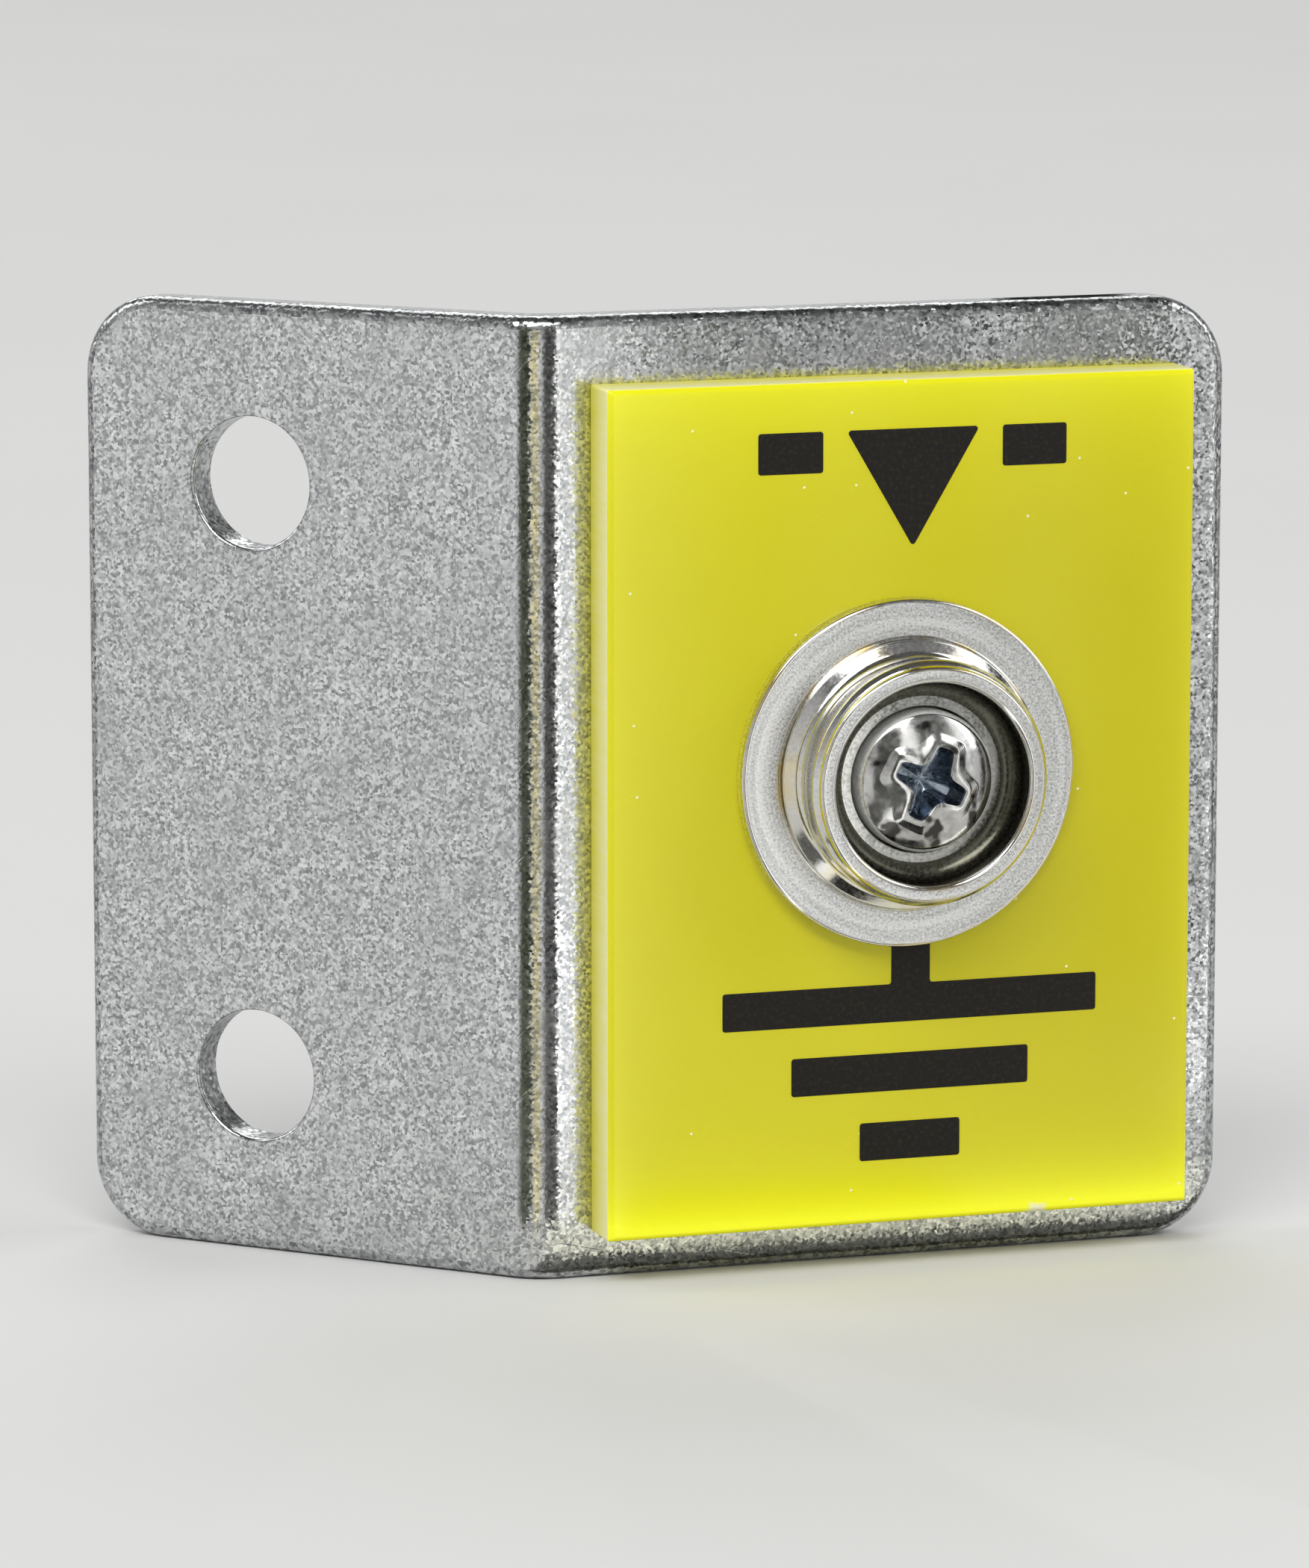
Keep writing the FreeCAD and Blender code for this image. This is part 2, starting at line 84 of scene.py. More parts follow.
# Blender's number for a fill of the inside that leaves the holes open
INSIDE_WITH_HOLES = 2

# Sizes that pieces share, the label's edges from the stud's axis
SHEET_THICKNESS = 1.5
BEND_RADIUS = 1.5
HOLE_TO_BEND = 12.0
LABEL_LEFT = -12.75
LABEL_RIGHT = 12.75
LABEL_TOP = 16.2
LABEL_BOTTOM = -19.0
LABEL_THICKNESS = 2.4
SCREW_HOLE = 3.3
HEAD_SEAT = 1.4
WASHER_THICKNESS = 0.45

ACRYLIC_IOR = 1.49
INK_IOR = 1.5
# Octaves of a noise, from a soft one to the finest
SOFT_NOISE = 1.0
EVEN_NOISE = 2.0
FINE_NOISE = 3.0
FINEST_NOISE = 5.0
# Share of its height that each octave of a crisp noise hands on to the next
CRISP_NOISE = 0.6
# Scale of a noise whose size a mapping node sets
MAPPED_SCALE = 1.0

log = logging.getLogger("connection_point")

Source = Union[bpy.types.Node, bpy.types.NodeSocket]
# Pairs of inset and depth, from a front face to a back face
Profile = list[tuple[float, float]]
# Radius and height at an angle about an axis
Ring = Callable[[float], tuple[float, float]]


class Slot(Enum):
    """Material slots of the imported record."""

    ZINC = "zinc_plate"
    PLASTIC = "yellow_plastic"
    NICKEL = "nickel_plate"
    SCREW = "screw_steel"
    SPRING = "spring_steel"
    NUT = "nut_steel"


class SheetFinish(IntEnum):
    """Finishes of the bracket, by their number in its mesh."""

    FACE = 0
    CUT = 1


class LabelFinish(IntEnum):
    """Finishes of the label, by their number in its mesh."""

    FRONT = 0
    WALL = 1


class StudFinish(IntEnum):
    """Finishes of the stud, by their number in its mesh."""

    POLISHED = 0
    GROUND = 1
    BORED = 2
    FACED = 3


class ScrewFinish(IntEnum):
    """Finishes of the screw, by their number in its mesh."""

    CROWN = 0
    RECESS = 1
    SIDE = 2


def linear(hex_colour: str) -> tuple[float, float, float, float]:
    """Turns an sRGB colour to linear light.

    Args:
        hex_colour: the colour as "#RRGGBB".

    Returns:
        Red, green and blue in linear light, and an alpha of one.
    """
    channels = []
    # The numbers below are those of the sRGB standard
    for start in (1, 3, 5):
        value = int(hex_colour[start:start + 2], 16) / 255
        channels.append(value / 12.92 if value <= 0.04045 else ((value + 0.055) / 1.055) ** 2.4)
    return (*channels, 1.0)


def per_mm(size: float) -> float:
    """Texture scale at which one step of a pattern is `size` millimetres long."""
    return 1 / (size * MM)


def add_node(
    tree: bpy.types.NodeTree,
    kind: str,
    settings: Optional[dict[str, object]] = None,
    links: Optional[dict[str, Source]] = None,
) -> bpy.types.Node:
    """Adds a node with its settings and links.

    Args:
        tree: the node tree that gets the node.
        kind: Blender's name for the node type.
        settings: values by the name of a property, or by the identifier or name of an input.
        links: sources by the identifier or name of an input. A node means its first output in use.

    Returns:
        The new node.
    """
    node = tree.nodes.new(kind)
    inputs = {socket.name: socket for socket in reversed(node.inputs)}
    inputs.update({socket.identifier: socket for socket in node.inputs})
    for key, value in (settings or {}).items():
        if key in inputs:
            inputs[key].default_value = value
        else:
            setattr(node, key, value)
    for key, source in (links or {}).items():
        if isinstance(source, bpy.types.Node):
            source = next(socket for socket in source.outputs if socket.enabled)
        tree.links.new(inputs[key], source)
    return node


@dataclass(frozen=True)
class Finish:
    """A surface: what the real one is made of and how it was finished.

    Args:
        name: common name of the material and its process.
    """

    name: str

    def draw(self, tree: bpy.types.NodeTree, place: bpy.types.NodeSocket) -> bpy.types.Node:
        """Adds the nodes of the finish.

        Args:
            tree: the material's node tree.
            place: the object's own coordinates, in metres.

        Returns:
            The shader node.
        """
        raise NotImplementedError

    def material(self) -> bpy.types.Material:
        """Makes the Blender material at its first use.

        Returns:
            The material, the same one for each use.
        """
        known = bpy.data.materials.get(self.name)
        if known:
            return known
        made = bpy.data.materials.new(self.name)
        made.use_nodes = True
        tree = made.node_tree
        tree.nodes.clear()
        place = add_node(tree, "ShaderNodeTexCoord").outputs["Object"]
        add_node(tree, "ShaderNodeOutputMaterial", links={"Surface": self.draw(tree, place)})
        return made


@dataclass(frozen=True)
class Scratches:
    """Handling scratches that all run about one way.

    Real ones are a few hundredths of a millimetre wide. They are drawn coarser, so that they show.

    Args:
        length: length of a scratch.
        width: its width.
        depth: its depth below the surface.
        turn: its direction, as turns about the object's axes.
        faint: level of the noise at which a scratch starts.
        full: level at which it is deepest.
    """

    length: float
    width: float
    depth: float
    turn: tuple[float, float, float]
    faint: float
    full: float

    def draw(self, tree: bpy.types.NodeTree, place: bpy.types.NodeSocket) -> bpy.types.Node:
        """Adds a noise that is drawn out along the scratches.

        Args:
            tree: the material's node tree.
            place: the object's own coordinates, in metres.

        Returns:
            The node that says how deep a scratch is at each place, from 0 to 1.
        """
        lengthwise = add_node(
            tree,
            "ShaderNodeMapping",
            {
                "vector_type": "TEXTURE",
                "Rotation": self.turn,
                "Scale": (self.length * MM, self.width * MM, self.length * MM),
            },
            {"Vector": place},
        )
        strokes = add_node(
            tree,
            "ShaderNodeTexNoise",
            {"Scale": MAPPED_SCALE, "Detail": SOFT_NOISE},
            {"Vector": lengthwise},
        )
        return add_node(
            tree, "ShaderNodeMapRange", {"From Min": self.faint, "From Max": self.full}, {"Value": strokes}
        )


@dataclass(frozen=True)
class ZincPlate(Finish):
    """Bright electroplated zinc, blue passivated, on cold rolled sheet.

    The eye sees a cool grey mirror broken up by fine crystals, cloudy patches and handling marks.
    """

    light: str = "#F6F7F7"
    dark: str = "#84878A"
    cloud: str = "#B4B6B6"
    clouding: float = 2.6
    cloud_share: float = 0.5
    cloud_from: float = 0.35
    cloud_full: float = 0.7
    # Real crystals and grain are about 0.02 mm across. Both are drawn coarser, so that they show
    crystal: float = 0.12
    tilt: float = 0.065
    grain: float = 0.1
    grain_height: float = 0.0012
    scratches: Scratches = Scratches(
        length=5.0, width=0.09, depth=0.003, turn=(0.5, 0.4, 0.9), faint=0.68, full=0.76
    )
    smooth: float = 0.08
    dull: float = 0.2

    def draw_colour(self, tree: bpy.types.NodeTree, flake: Source, patches: Source) -> bpy.types.Node:
        """Adds the metal's tone, which changes from crystal to crystal and evens out in the clouds.

        Args:
            tree: the material's node tree.
            flake: a number for each crystal, from 0 to 1.
            patches: how cloudy each place is, from 0 to 1.

        Returns:
            The node that gives the colour.
        """
        metal = add_node(
            tree,
            "ShaderNodeMix",
            {"data_type": "RGBA", "A_Color": linear(self.dark), "B_Color": linear(self.light)},
            {"Factor_Float": flake},
        )
        share = add_node(
            tree,
            "ShaderNodeMath",
            {"operation": "MULTIPLY", "Value_001": self.cloud_share},
            {"Value": patches},
        )
        return add_node(
            tree,
            "ShaderNodeMix",
            {"data_type": "RGBA", "B_Color": linear(self.cloud)},
            {"Factor_Float": share, "A_Color": metal},
        )

    def draw_relief(
        self, tree: bpy.types.NodeTree, place: bpy.types.NodeSocket, crystals: Source
    ) -> bpy.types.Node:
        """Adds leaning crystals, a grain and scratches.

        Args:
            tree: the material's node tree.
            place: the object's own coordinates, in metres.
            crystals: a colour for each crystal, which gives the way that it leans.

        Returns:
            The node that gives the normal.
        """
        # A crystal's colour has a mean of one half, which stands for no tilt
        offset = add_node(
            tree,
            "ShaderNodeVectorMath",
            {"operation": "SUBTRACT", "Vector_001": (0.5, 0.5, 0.5)},
            {"Vector": crystals},
        )
        even = add_node(tree, "ShaderNodeNewGeometry").outputs["Normal"]
        tilted = add_node(
            tree,
            "ShaderNodeVectorMath",
            {"operation": "MULTIPLY_ADD", "Vector_001": (self.tilt, self.tilt, self.tilt)},
            {"Vector": offset, "Vector_002": even},
        )
        facets = add_node(tree, "ShaderNodeVectorMath", {"operation": "NORMALIZE"}, {"Vector": tilted})
        grain = add_node(
            tree,
            "ShaderNodeTexNoise",
            {"Scale": per_mm(self.grain), "Detail": EVEN_NOISE},
            {"Vector": place},
        )
        grained = add_node(
            tree,
            "ShaderNodeBump",
            {"Distance": self.grain_height * MM},
            {"Height": grain, "Normal": facets},
        )
        return add_node(
            tree,
            "ShaderNodeBump",
            {"Distance": self.scratches.depth * MM, "invert": True},
            {"Height": self.scratches.draw(tree, place), "Normal": grained},
        )

    def draw(self, tree: bpy.types.NodeTree, place: bpy.types.NodeSocket) -> bpy.types.Node:
        """Adds crystals, clouds and their relief to a zinc mirror.

        Args:
            tree: the material's node tree.
            place: the object's own coordinates, in metres.

        Returns:
            The shader node.
        """
        crystals = add_node(
            tree, "ShaderNodeTexVoronoi", {"Scale": per_mm(self.crystal)}, {"Vector": place}
        ).outputs["Color"]
        flake = add_node(tree, "ShaderNodeSeparateColor", links={"Color": crystals})
        clouds = add_node(
            tree,
            "ShaderNodeTexNoise",
            {"Scale": per_mm(self.clouding), "Detail": FINEST_NOISE, "Roughness": CRISP_NOISE},
            {"Vector": place},
        )
        patches = add_node(
            tree,
            "ShaderNodeMapRange",
            {"From Min": self.cloud_from, "From Max": self.cloud_full},
            {"Value": clouds},
        )
        roughness = add_node(
            tree, "ShaderNodeMapRange", {"To Min": self.smooth, "To Max": self.dull}, {"Value": patches}
        )
        return add_node(
            tree,
            "ShaderNodeBsdfPrincipled",
            {"Metallic": 1.0},
            {
                "Base Color": self.draw_colour(tree, flake, patches),
                "Roughness": roughness,
                "Normal": self.draw_relief(tree, place, crystals),
            },
        )


@dataclass(frozen=True)
class LabelFront(Finish):
    """Cast yellow acrylic, gloss front.

    Its cut edges glow with light that the sheet gathers, most of all the lower one, fading into the flatter
    middle; this glow is painted light in the base colour, as is the shade that darkens the body to the
    right. Dust nicks and hairline scratches sit in the gloss.
    """

    # Painted shade: the body is lighter at the left and darker at the right
    left_lit_body: str = "#D4CD18"
    right_shaded_body: str = "#C6BD12"
    # Painted glow of the cut edges, mixed into the base colour
    glow: str = "#FFFF1E"
    left: float = LABEL_LEFT
    right: float = LABEL_RIGHT
    top: float = LABEL_TOP
    bottom: float = LABEL_BOTTOM
    # Painted glow of each cut edge: its strength at the edge, and the depth at which a third of it is left
    low_painted_glow: tuple[float, float] = (1.35, 1.4)
    high_painted_glow: tuple[float, float] = (0.5, 2.2)
    side_painted_glow: tuple[float, float] = (0.17, 1.0)
    clouding: float = 9.0
    cloud_share: float = 0.5
    chip: str = "#F2EFC4"
    chip_place: tuple[float, float, float] = (6.0, LABEL_BOTTOM, 0.0)
    chip_size: float = 0.5
    chip_core: float = 0.3
    chip_grain: float = 0.25
    nick_spacing: float = 2.4
    nick_radius: float = 0.055
    nicked_share: float = 0.25
    peel: float = 1.6
    peel_height: float = 0.0012
    scratches: Scratches = Scratches(
        length=4.0, width=0.06, depth=0.0006, turn=(0.0, 0.0, 0.6), faint=0.72, full=0.8
    )
    gloss: float = 0.16
    worn: float = 0.34
    subsurface: float = 0.12
    subsurface_depth: float = 1.2
    subsurface_radius: tuple[float, float, float] = (1.0, 0.9, 0.2)

    def painted_edge_glow(
        self,
        tree: bpy.types.NodeTree,
        across: Source,
        edge: float,
        inward: int,
        strength: float,
        depth: float,
    ) -> bpy.types.Node:
        """Adds the painted glow of one cut edge: light that it sends into the sheet, which takes it up on
        its way.

        Args:
            tree: the material's node tree.
            across: the coordinate across the edge, in metres.
            edge: where the edge is on it, in millimetres.
            inward: 1 if the sheet lies on the far side of the edge, and -1 if on the near side.
            strength: share of the glow at the edge itself.
            depth: distance in which it falls to about a third, in millimetres.

        Returns:
            The node that gives the share of the glow.
        """
        fall = -inward / (depth * MM)
        fading = add_node(
            tree,
            "ShaderNodeMath",
            {
                "operation": "MULTIPLY_ADD",
                "Value_001": fall,
                "Value_002": math.log(strength) - fall * edge * MM,
            },
            {"Value": across},
        )
        return add_node(tree, "ShaderNodeMath", {"operation": "EXPONENT"}, {"Value": fading})

    def draw_body(self, tree: bpy.types.NodeTree, place: bpy.types.NodeSocket) -> bpy.types.Node:
        """Adds the sheet's colour: a body that painted shade darkens to the right, and the painted glow of
        its cut edges.

        Args:
            tree: the material's node tree.
            place: the object's own coordinates, in metres.

        Returns:
            The node that gives the colour.
        """
        axes = add_node(tree, "ShaderNodeSeparateXYZ", links={"Vector": place})
        glowing: Optional[bpy.types.Node] = None
        for axis, edge, inward, (strength, depth) in (
            ("Y", self.bottom, 1, self.low_painted_glow),
            ("Y", self.top, -1, self.high_painted_glow),
            ("X", self.left, 1, self.side_painted_glow),
            ("X", self.right, -1, self.side_painted_glow),
        ):
            share = self.painted_edge_glow(tree, axes.outputs[axis], edge, inward, strength, depth)
            glowing = share if glowing is None else add_node(
                tree,
                "ShaderNodeMath",
                {"operation": "ADD", "use_clamp": True},
                {"Value": glowing, "Value_001": share},
            )
        clouds = add_node(
            tree,
            "ShaderNodeTexNoise",
            {"Scale": per_mm(self.clouding), "Detail": EVEN_NOISE},
            {"Vector": place},
        )
        rightward = add_node(
            tree,
            "ShaderNodeMapRange",
            {
                "From Min": self.left * MM,
                "From Max": self.right * MM,
                "To Min": -self.cloud_share / 2,
                "To Max": 1 - self.cloud_share / 2,
            },
            {"Value": axes.outputs["X"]},
        )
        uneven = add_node(
            tree,
            "ShaderNodeMath",
            {"operation": "MULTIPLY_ADD", "Value_001": self.cloud_share, "use_clamp": True},
            {"Value": clouds, "Value_002": rightward},
        )
        body = add_node(
            tree,
            "ShaderNodeMix",
            {"data_type": "RGBA", "A_Color": linear(self.left_lit_body), "B_Color": linear(self.right_shaded_body)},
            {"Factor_Float": uneven},
        )
        return add_node(
            tree,
            "ShaderNodeMix",
            {"data_type": "RGBA", "B_Color": linear(self.glow)},
            {"Factor_Float": glowing, "A_Color": body},
        )

    def draw_damage(self, tree: bpy.types.NodeTree, place: bpy.types.NodeSocket) -> bpy.types.Node:
        """Adds dust nicks and one chip at the lower edge.

        Args:
            tree: the material's node tree.
            place: the object's own coordinates, in metres.

        Returns:
            The node that says where the surface is broken.
        """
        nicks = add_node(
            tree,
            "ShaderNodeTexVoronoi",
            {"voronoi_dimensions": "2D", "Scale": per_mm(self.nick_spacing)},
            {"Vector": place},
        )
        small = add_node(
            tree,
            "ShaderNodeMath",
            {"operation": "LESS_THAN", "Value_001": self.nick_radius / self.nick_spacing},
            {"Value": nicks.outputs["Distance"]},
        )
        chosen = add_node(
            tree,
            "ShaderNodeMath",
            {"operation": "LESS_THAN", "Value_001": self.nicked_share},
            {"Value": add_node(tree, "ShaderNodeSeparateColor", links={"Color": nicks.outputs["Color"]})},
        )
        nicked = add_node(
            tree, "ShaderNodeMath", {"operation": "MULTIPLY"}, {"Value": small, "Value_001": chosen}
        )
        ragged = add_node(
            tree, "ShaderNodeTexNoise", {"Scale": per_mm(self.chip_grain)}, {"Vector": place}
        ).outputs["Color"]
        shaken = add_node(
            tree,
            "ShaderNodeVectorMath",
            {"operation": "MULTIPLY_ADD", "Vector_001": [self.chip_size * MM] * 3},
            {"Vector": ragged, "Vector_002": place},
        )
        # The noise shifts a place by half the chip's size on average
        shift = self.chip_size / 2
        away = add_node(
            tree,
            "ShaderNodeVectorMath",
            {"operation": "DISTANCE", "Vector_001": [(side + shift) * MM for side in self.chip_place]},
            {"Vector": shaken},
        )
        chipped = add_node(
            tree,
            "ShaderNodeMapRange",
            {"From Min": self.chip_size * MM, "From Max": self.chip_core * MM},
            {"Value": away.outputs["Value"]},
        )
        return add_node(
            tree, "ShaderNodeMath", {"operation": "MAXIMUM"}, {"Value": chipped, "Value_001": nicked}
        )

    def draw(self, tree: bpy.types.NodeTree, place: bpy.types.NodeSocket) -> bpy.types.Node:
        """Adds a chip, nicks, a faint ripple and hairline scratches to the glowing sheet.

        Args:
            tree: the material's node tree.
            place: the object's own coordinates, in metres.

        Returns:
            The shader node.
        """
        colour = add_node(
            tree,
            "ShaderNodeMix",
            {"data_type": "RGBA", "B_Color": linear(self.chip)},
            {"Factor_Float": self.draw_damage(tree, place), "A_Color": self.draw_body(tree, place)},
        )
        scratches = self.scratches.draw(tree, place)
        roughness = add_node(
            tree, "ShaderNodeMapRange", {"To Min": self.gloss, "To Max": self.worn}, {"Value": scratches}
        )
        peel = add_node(
            tree,
            "ShaderNodeTexNoise",
            {"Scale": per_mm(self.peel), "Detail": SOFT_NOISE},
            {"Vector": place},
        )
        rippled = add_node(
            tree, "ShaderNodeBump", {"Distance": self.peel_height * MM}, {"Height": peel}
        )
        normal = add_node(
            tree,
            "ShaderNodeBump",
            {"Distance": self.scratches.depth * MM, "invert": True},
            {"Height": scratches, "Normal": rippled},
        )
        return add_node(
            tree,
            "ShaderNodeBsdfPrincipled",
            {
                "IOR": ACRYLIC_IOR,
                "Subsurface Weight": self.subsurface,
                "Subsurface Radius": self.subsurface_radius,
                "Subsurface Scale": self.subsurface_depth * MM,
            },
            {"Base Color": colour, "Roughness": roughness, "Normal": normal},
        )


@dataclass(frozen=True)
class SawnAcrylic(Finish):
    """Sawn and scraped edge of the yellow acrylic.

    The saw leaves it duller than the front, with fine lines through the thickness. It is frosted white
    towards the front, from the saw, and full yellow towards the back, a painted glow of light that comes
    out of the sheet.
    """

    # Full yellow towards the back: a painted glow of light that leaves the sheet
    deep_painted_glow: str = "#EAE21C"
    frosted: str = "#F9F6B8"
    depth: float = LABEL_THICKNESS
    # Real saw lines are about 0.1 mm apart. They are drawn coarser, so that they show
    line: float = 0.2
    line_length: float = 3.0
    line_height: float = 0.002
    line_share: float = 0.5
    roughness: float = 0.34

    def draw(self, tree: bpy.types.NodeTree, place: bpy.types.NodeSocket) -> bpy.types.Node:
        """Adds saw lines that run through the label's thickness.

        Args:
            tree: the material's node tree.
            place: the object's own coordinates, in metres.

        Returns:
            The shader node.
        """
        stretched = add_node(
            tree,
            "ShaderNodeMapping",
            {"Scale": (per_mm(self.line), per_mm(self.line), per_mm(self.line_length))},
            {"Vector": place},
        )
        lines = add_node(
            tree, "ShaderNodeTexNoise", {"Scale": MAPPED_SCALE, "Detail": FINE_NOISE}, {"Vector": stretched}
        )
        height = add_node(tree, "ShaderNodeSeparateXYZ", links={"Vector": place}).outputs["Z"]
        outward = add_node(
            tree,
            "ShaderNodeMapRange",
            {
                "From Min": -self.depth * MM,
                "From Max": 0.0,
                "To Min": -self.line_share / 2,
                "To Max": 1 - self.line_share / 2,
            },
            {"Value": height},
        )
        frost = add_node(
            tree,
            "ShaderNodeMath",
            {"operation": "MULTIPLY_ADD", "Value_001": self.line_share, "use_clamp": True},
            {"Value": lines, "Value_002": outward},
        )
        colour = add_node(
            tree,
            "ShaderNodeMix",
            {"data_type": "RGBA", "A_Color": linear(self.deep_painted_glow), "B_Color": linear(self.frosted)},
            {"Factor_Float": frost},
        )
        normal = add_node(
            tree, "ShaderNodeBump", {"Distance": self.line_height * MM}, {"Height": lines}
        )
        return add_node(
            tree,
            "ShaderNodeBsdfPrincipled",
            {"IOR": ACRYLIC_IOR, "Roughness": self.roughness},
            {"Base Color": colour, "Normal": normal},
        )


@dataclass(frozen=True)
class ScreenInk(Finish):
    """Black ink, screen printed on the label.

    It looks warm black and half dull, a little uneven where the ink lay thin.
    """

    full: str = "#14110D"
    thin: str = "#2A2413"
    # Real thin places are as fine as the screen's mesh. They are drawn coarser, so that they show
    speck: float = 0.18
    thin_from: float = 0.5
    thin_full: float = 0.75
    film: float = 0.004
    smooth: float = 0.45
    dull: float = 0.65
    specular: float = 0.25

    def draw(self, tree: bpy.types.NodeTree, place: bpy.types.NodeSocket) -> bpy.types.Node:
        """Adds thin places and the fine tooth of the ink film.

        Args:
            tree: the material's node tree.
            place: the object's own coordinates, in metres.

        Returns:
            The shader node.
        """
        specks = add_node(
            tree,
            "ShaderNodeTexNoise",
            {"Scale": per_mm(self.speck), "Detail": FINE_NOISE},
            {"Vector": place},
        )
        thin = add_node(
            tree,
            "ShaderNodeMapRange",
            {"From Min": self.thin_from, "From Max": self.thin_full},
            {"Value": specks},
        )
        colour = add_node(
            tree,
            "ShaderNodeMix",
            {"data_type": "RGBA", "A_Color": linear(self.full), "B_Color": linear(self.thin)},
            {"Factor_Float": thin},
        )
        roughness = add_node(
            tree, "ShaderNodeMapRange", {"To Min": self.smooth, "To Max": self.dull}, {"Value": specks}
        )
        normal = add_node(tree, "ShaderNodeBump", {"Distance": self.film * MM}, {"Height": specks})
        return add_node(
            tree,
            "ShaderNodeBsdfPrincipled",
            # A porous film sends little light back from its surface
            {"IOR": INK_IOR, "Specular IOR Level": self.specular},
            {"Base Color": colour, "Roughness": roughness, "Normal": normal},
        )


@dataclass(frozen=True)
class TurnedMetal(Finish):
    """Plated metal that was turned or ground about its own axis.

    Fine rings about the axis stretch each reflection, and a grain breaks it up. Patches of another
    tone, where the finish has them, are dark spots on the nut, and painted reflections on the polished
    nickel (gold) and the screw's crown (dark).
    """

    light: str = "#E4E3E0"
    dark: str = "#CFCECB"
    # Real tool marks and grit are a few hundredths of a millimetre. They are drawn coarser to show
    ring: float = 0.12
    ring_height: float = 0.0006
    ring_tone: float = 0.0
    ring_drift: float = 0.06
    grain: float = 0.15
    grain_height: float = 0.0004
    speckle_from: float = 0.3
    speckle_full: float = 0.7
    # Patches of another tone: real dark spots on the nut, painted reflections on the polished nickel and
    # the screw's crown
    stain_and_reflection: str = "#4A4946"
    stain_and_reflection_size: float = 0.9
    stain_and_reflection_from: float = 1.0
    stain_and_reflection_fade: float = 0.08
    smooth: float = 0.07
    dull: float = 0.16

    def draw_rings(self, tree: bpy.types.NodeTree, place: bpy.types.NodeSocket) -> bpy.types.Node:
        """Adds a noise of radius and height, which gives rings about the local Z axis.

        Args:
            tree: the material's node tree.
            place: the object's own coordinates, in metres.

        Returns:
            The node that gives the rings, from 0 to 1.
        """
        flat = add_node(
            tree,
            "ShaderNodeVectorMath",
            {"operation": "MULTIPLY", "Vector_001": (1.0, 1.0, 0.0)},
            {"Vector": place},
        )
        radius = add_node(tree, "ShaderNodeVectorMath", {"operation": "LENGTH"}, {"Vector": flat})
        axes = add_node(tree, "ShaderNodeSeparateXYZ", links={"Vector": place})
        # The rings change slowly on their way round
        drift = add_node(
            tree, "ShaderNodeMath", {"operation": "MULTIPLY", "Value_001": self.ring_drift}, {"Value": axes}
        )
        section = add_node(
            tree, "ShaderNodeCombineXYZ", links={"X": radius, "Y": axes.outputs["Z"], "Z": drift}
        )
        return add_node(
            tree,
            "ShaderNodeTexNoise",
            {"Scale": per_mm(self.ring), "Detail": FINE_NOISE, "Roughness": CRISP_NOISE},
            {"Vector": section},
        )

    def draw_colour(
        self, tree: bpy.types.NodeTree, place: bpy.types.NodeSocket, rings: Source, speckle: Source
    ) -> bpy.types.Node:
        """Adds a tone that follows the grain and the rings, with patches over it: real spots on some
        finishes, painted reflections on others.

        Args:
            tree: the material's node tree.
            place: the object's own coordinates, in metres.
            rings: the rings, from 0 to 1.
            speckle: the grain, from 0 to 1.

        Returns:
            The node that gives the colour.
        """
        ringed = add_node(
            tree,
            "ShaderNodeMath",
            {"operation": "MULTIPLY_ADD", "Value_001": self.ring_tone, "Value_002": -self.ring_tone / 2},
            {"Value": rings},
        )
        tone = add_node(
            tree,
            "ShaderNodeMath",
            {"operation": "ADD", "use_clamp": True},
            {"Value": speckle, "Value_001": ringed},
        )
        metal = add_node(
            tree,
            "ShaderNodeMix",
            {"data_type": "RGBA", "A_Color": linear(self.dark), "B_Color": linear(self.light)},
            {"Factor_Float": tone},
        )
        blots = add_node(
            tree,
            "ShaderNodeTexNoise",
            {"Scale": per_mm(self.stain_and_reflection_size), "Detail": EVEN_NOISE},
            {"Vector": place},
        )
        stain_and_reflection_share = add_node(
            tree,
            "ShaderNodeMapRange",
            {"From Min": self.stain_and_reflection_from, "From Max": self.stain_and_reflection_from + self.stain_and_reflection_fade},
            {"Value": blots},
        )
        return add_node(
            tree,
            "ShaderNodeMix",
            {"data_type": "RGBA", "B_Color": linear(self.stain_and_reflection)},
            {"Factor_Float": stain_and_reflection_share, "A_Color": metal},
        )

    def draw(self, tree: bpy.types.NodeTree, place: bpy.types.NodeSocket) -> bpy.types.Node:
        """Adds rings about the local Z axis, a grain and stains.

        Args:
            tree: the material's node tree.
            place: the object's own coordinates, in metres.

        Returns:
            The shader node.
        """
        rings = self.draw_rings(tree, place)
        grain = add_node(
            tree,
            "ShaderNodeTexNoise",
            {"Scale": per_mm(self.grain), "Detail": FINE_NOISE},
            {"Vector": place},
        )
        speckle = add_node(
            tree,
            "ShaderNodeMapRange",
            {"From Min": self.speckle_from, "From Max": self.speckle_full},
            {"Value": grain},
        )
        roughness = add_node(
            tree, "ShaderNodeMapRange", {"To Min": self.smooth, "To Max": self.dull}, {"Value": speckle}
        )
        turned = add_node(
            tree, "ShaderNodeBump", {"Distance": self.ring_height * MM}, {"Height": rings}
        )
        normal = add_node(
            tree,
            "ShaderNodeBump",
            {"Distance": self.grain_height * MM},
            {"Height": grain, "Normal": turned},
        )
        return add_node(
            tree,
            "ShaderNodeBsdfPrincipled",
            {"Metallic": 1.0},
            {
                "Base Color": self.draw_colour(tree, place, rings, speckle),
                "Roughness": roughness,
                "Normal": normal,
            },
        )


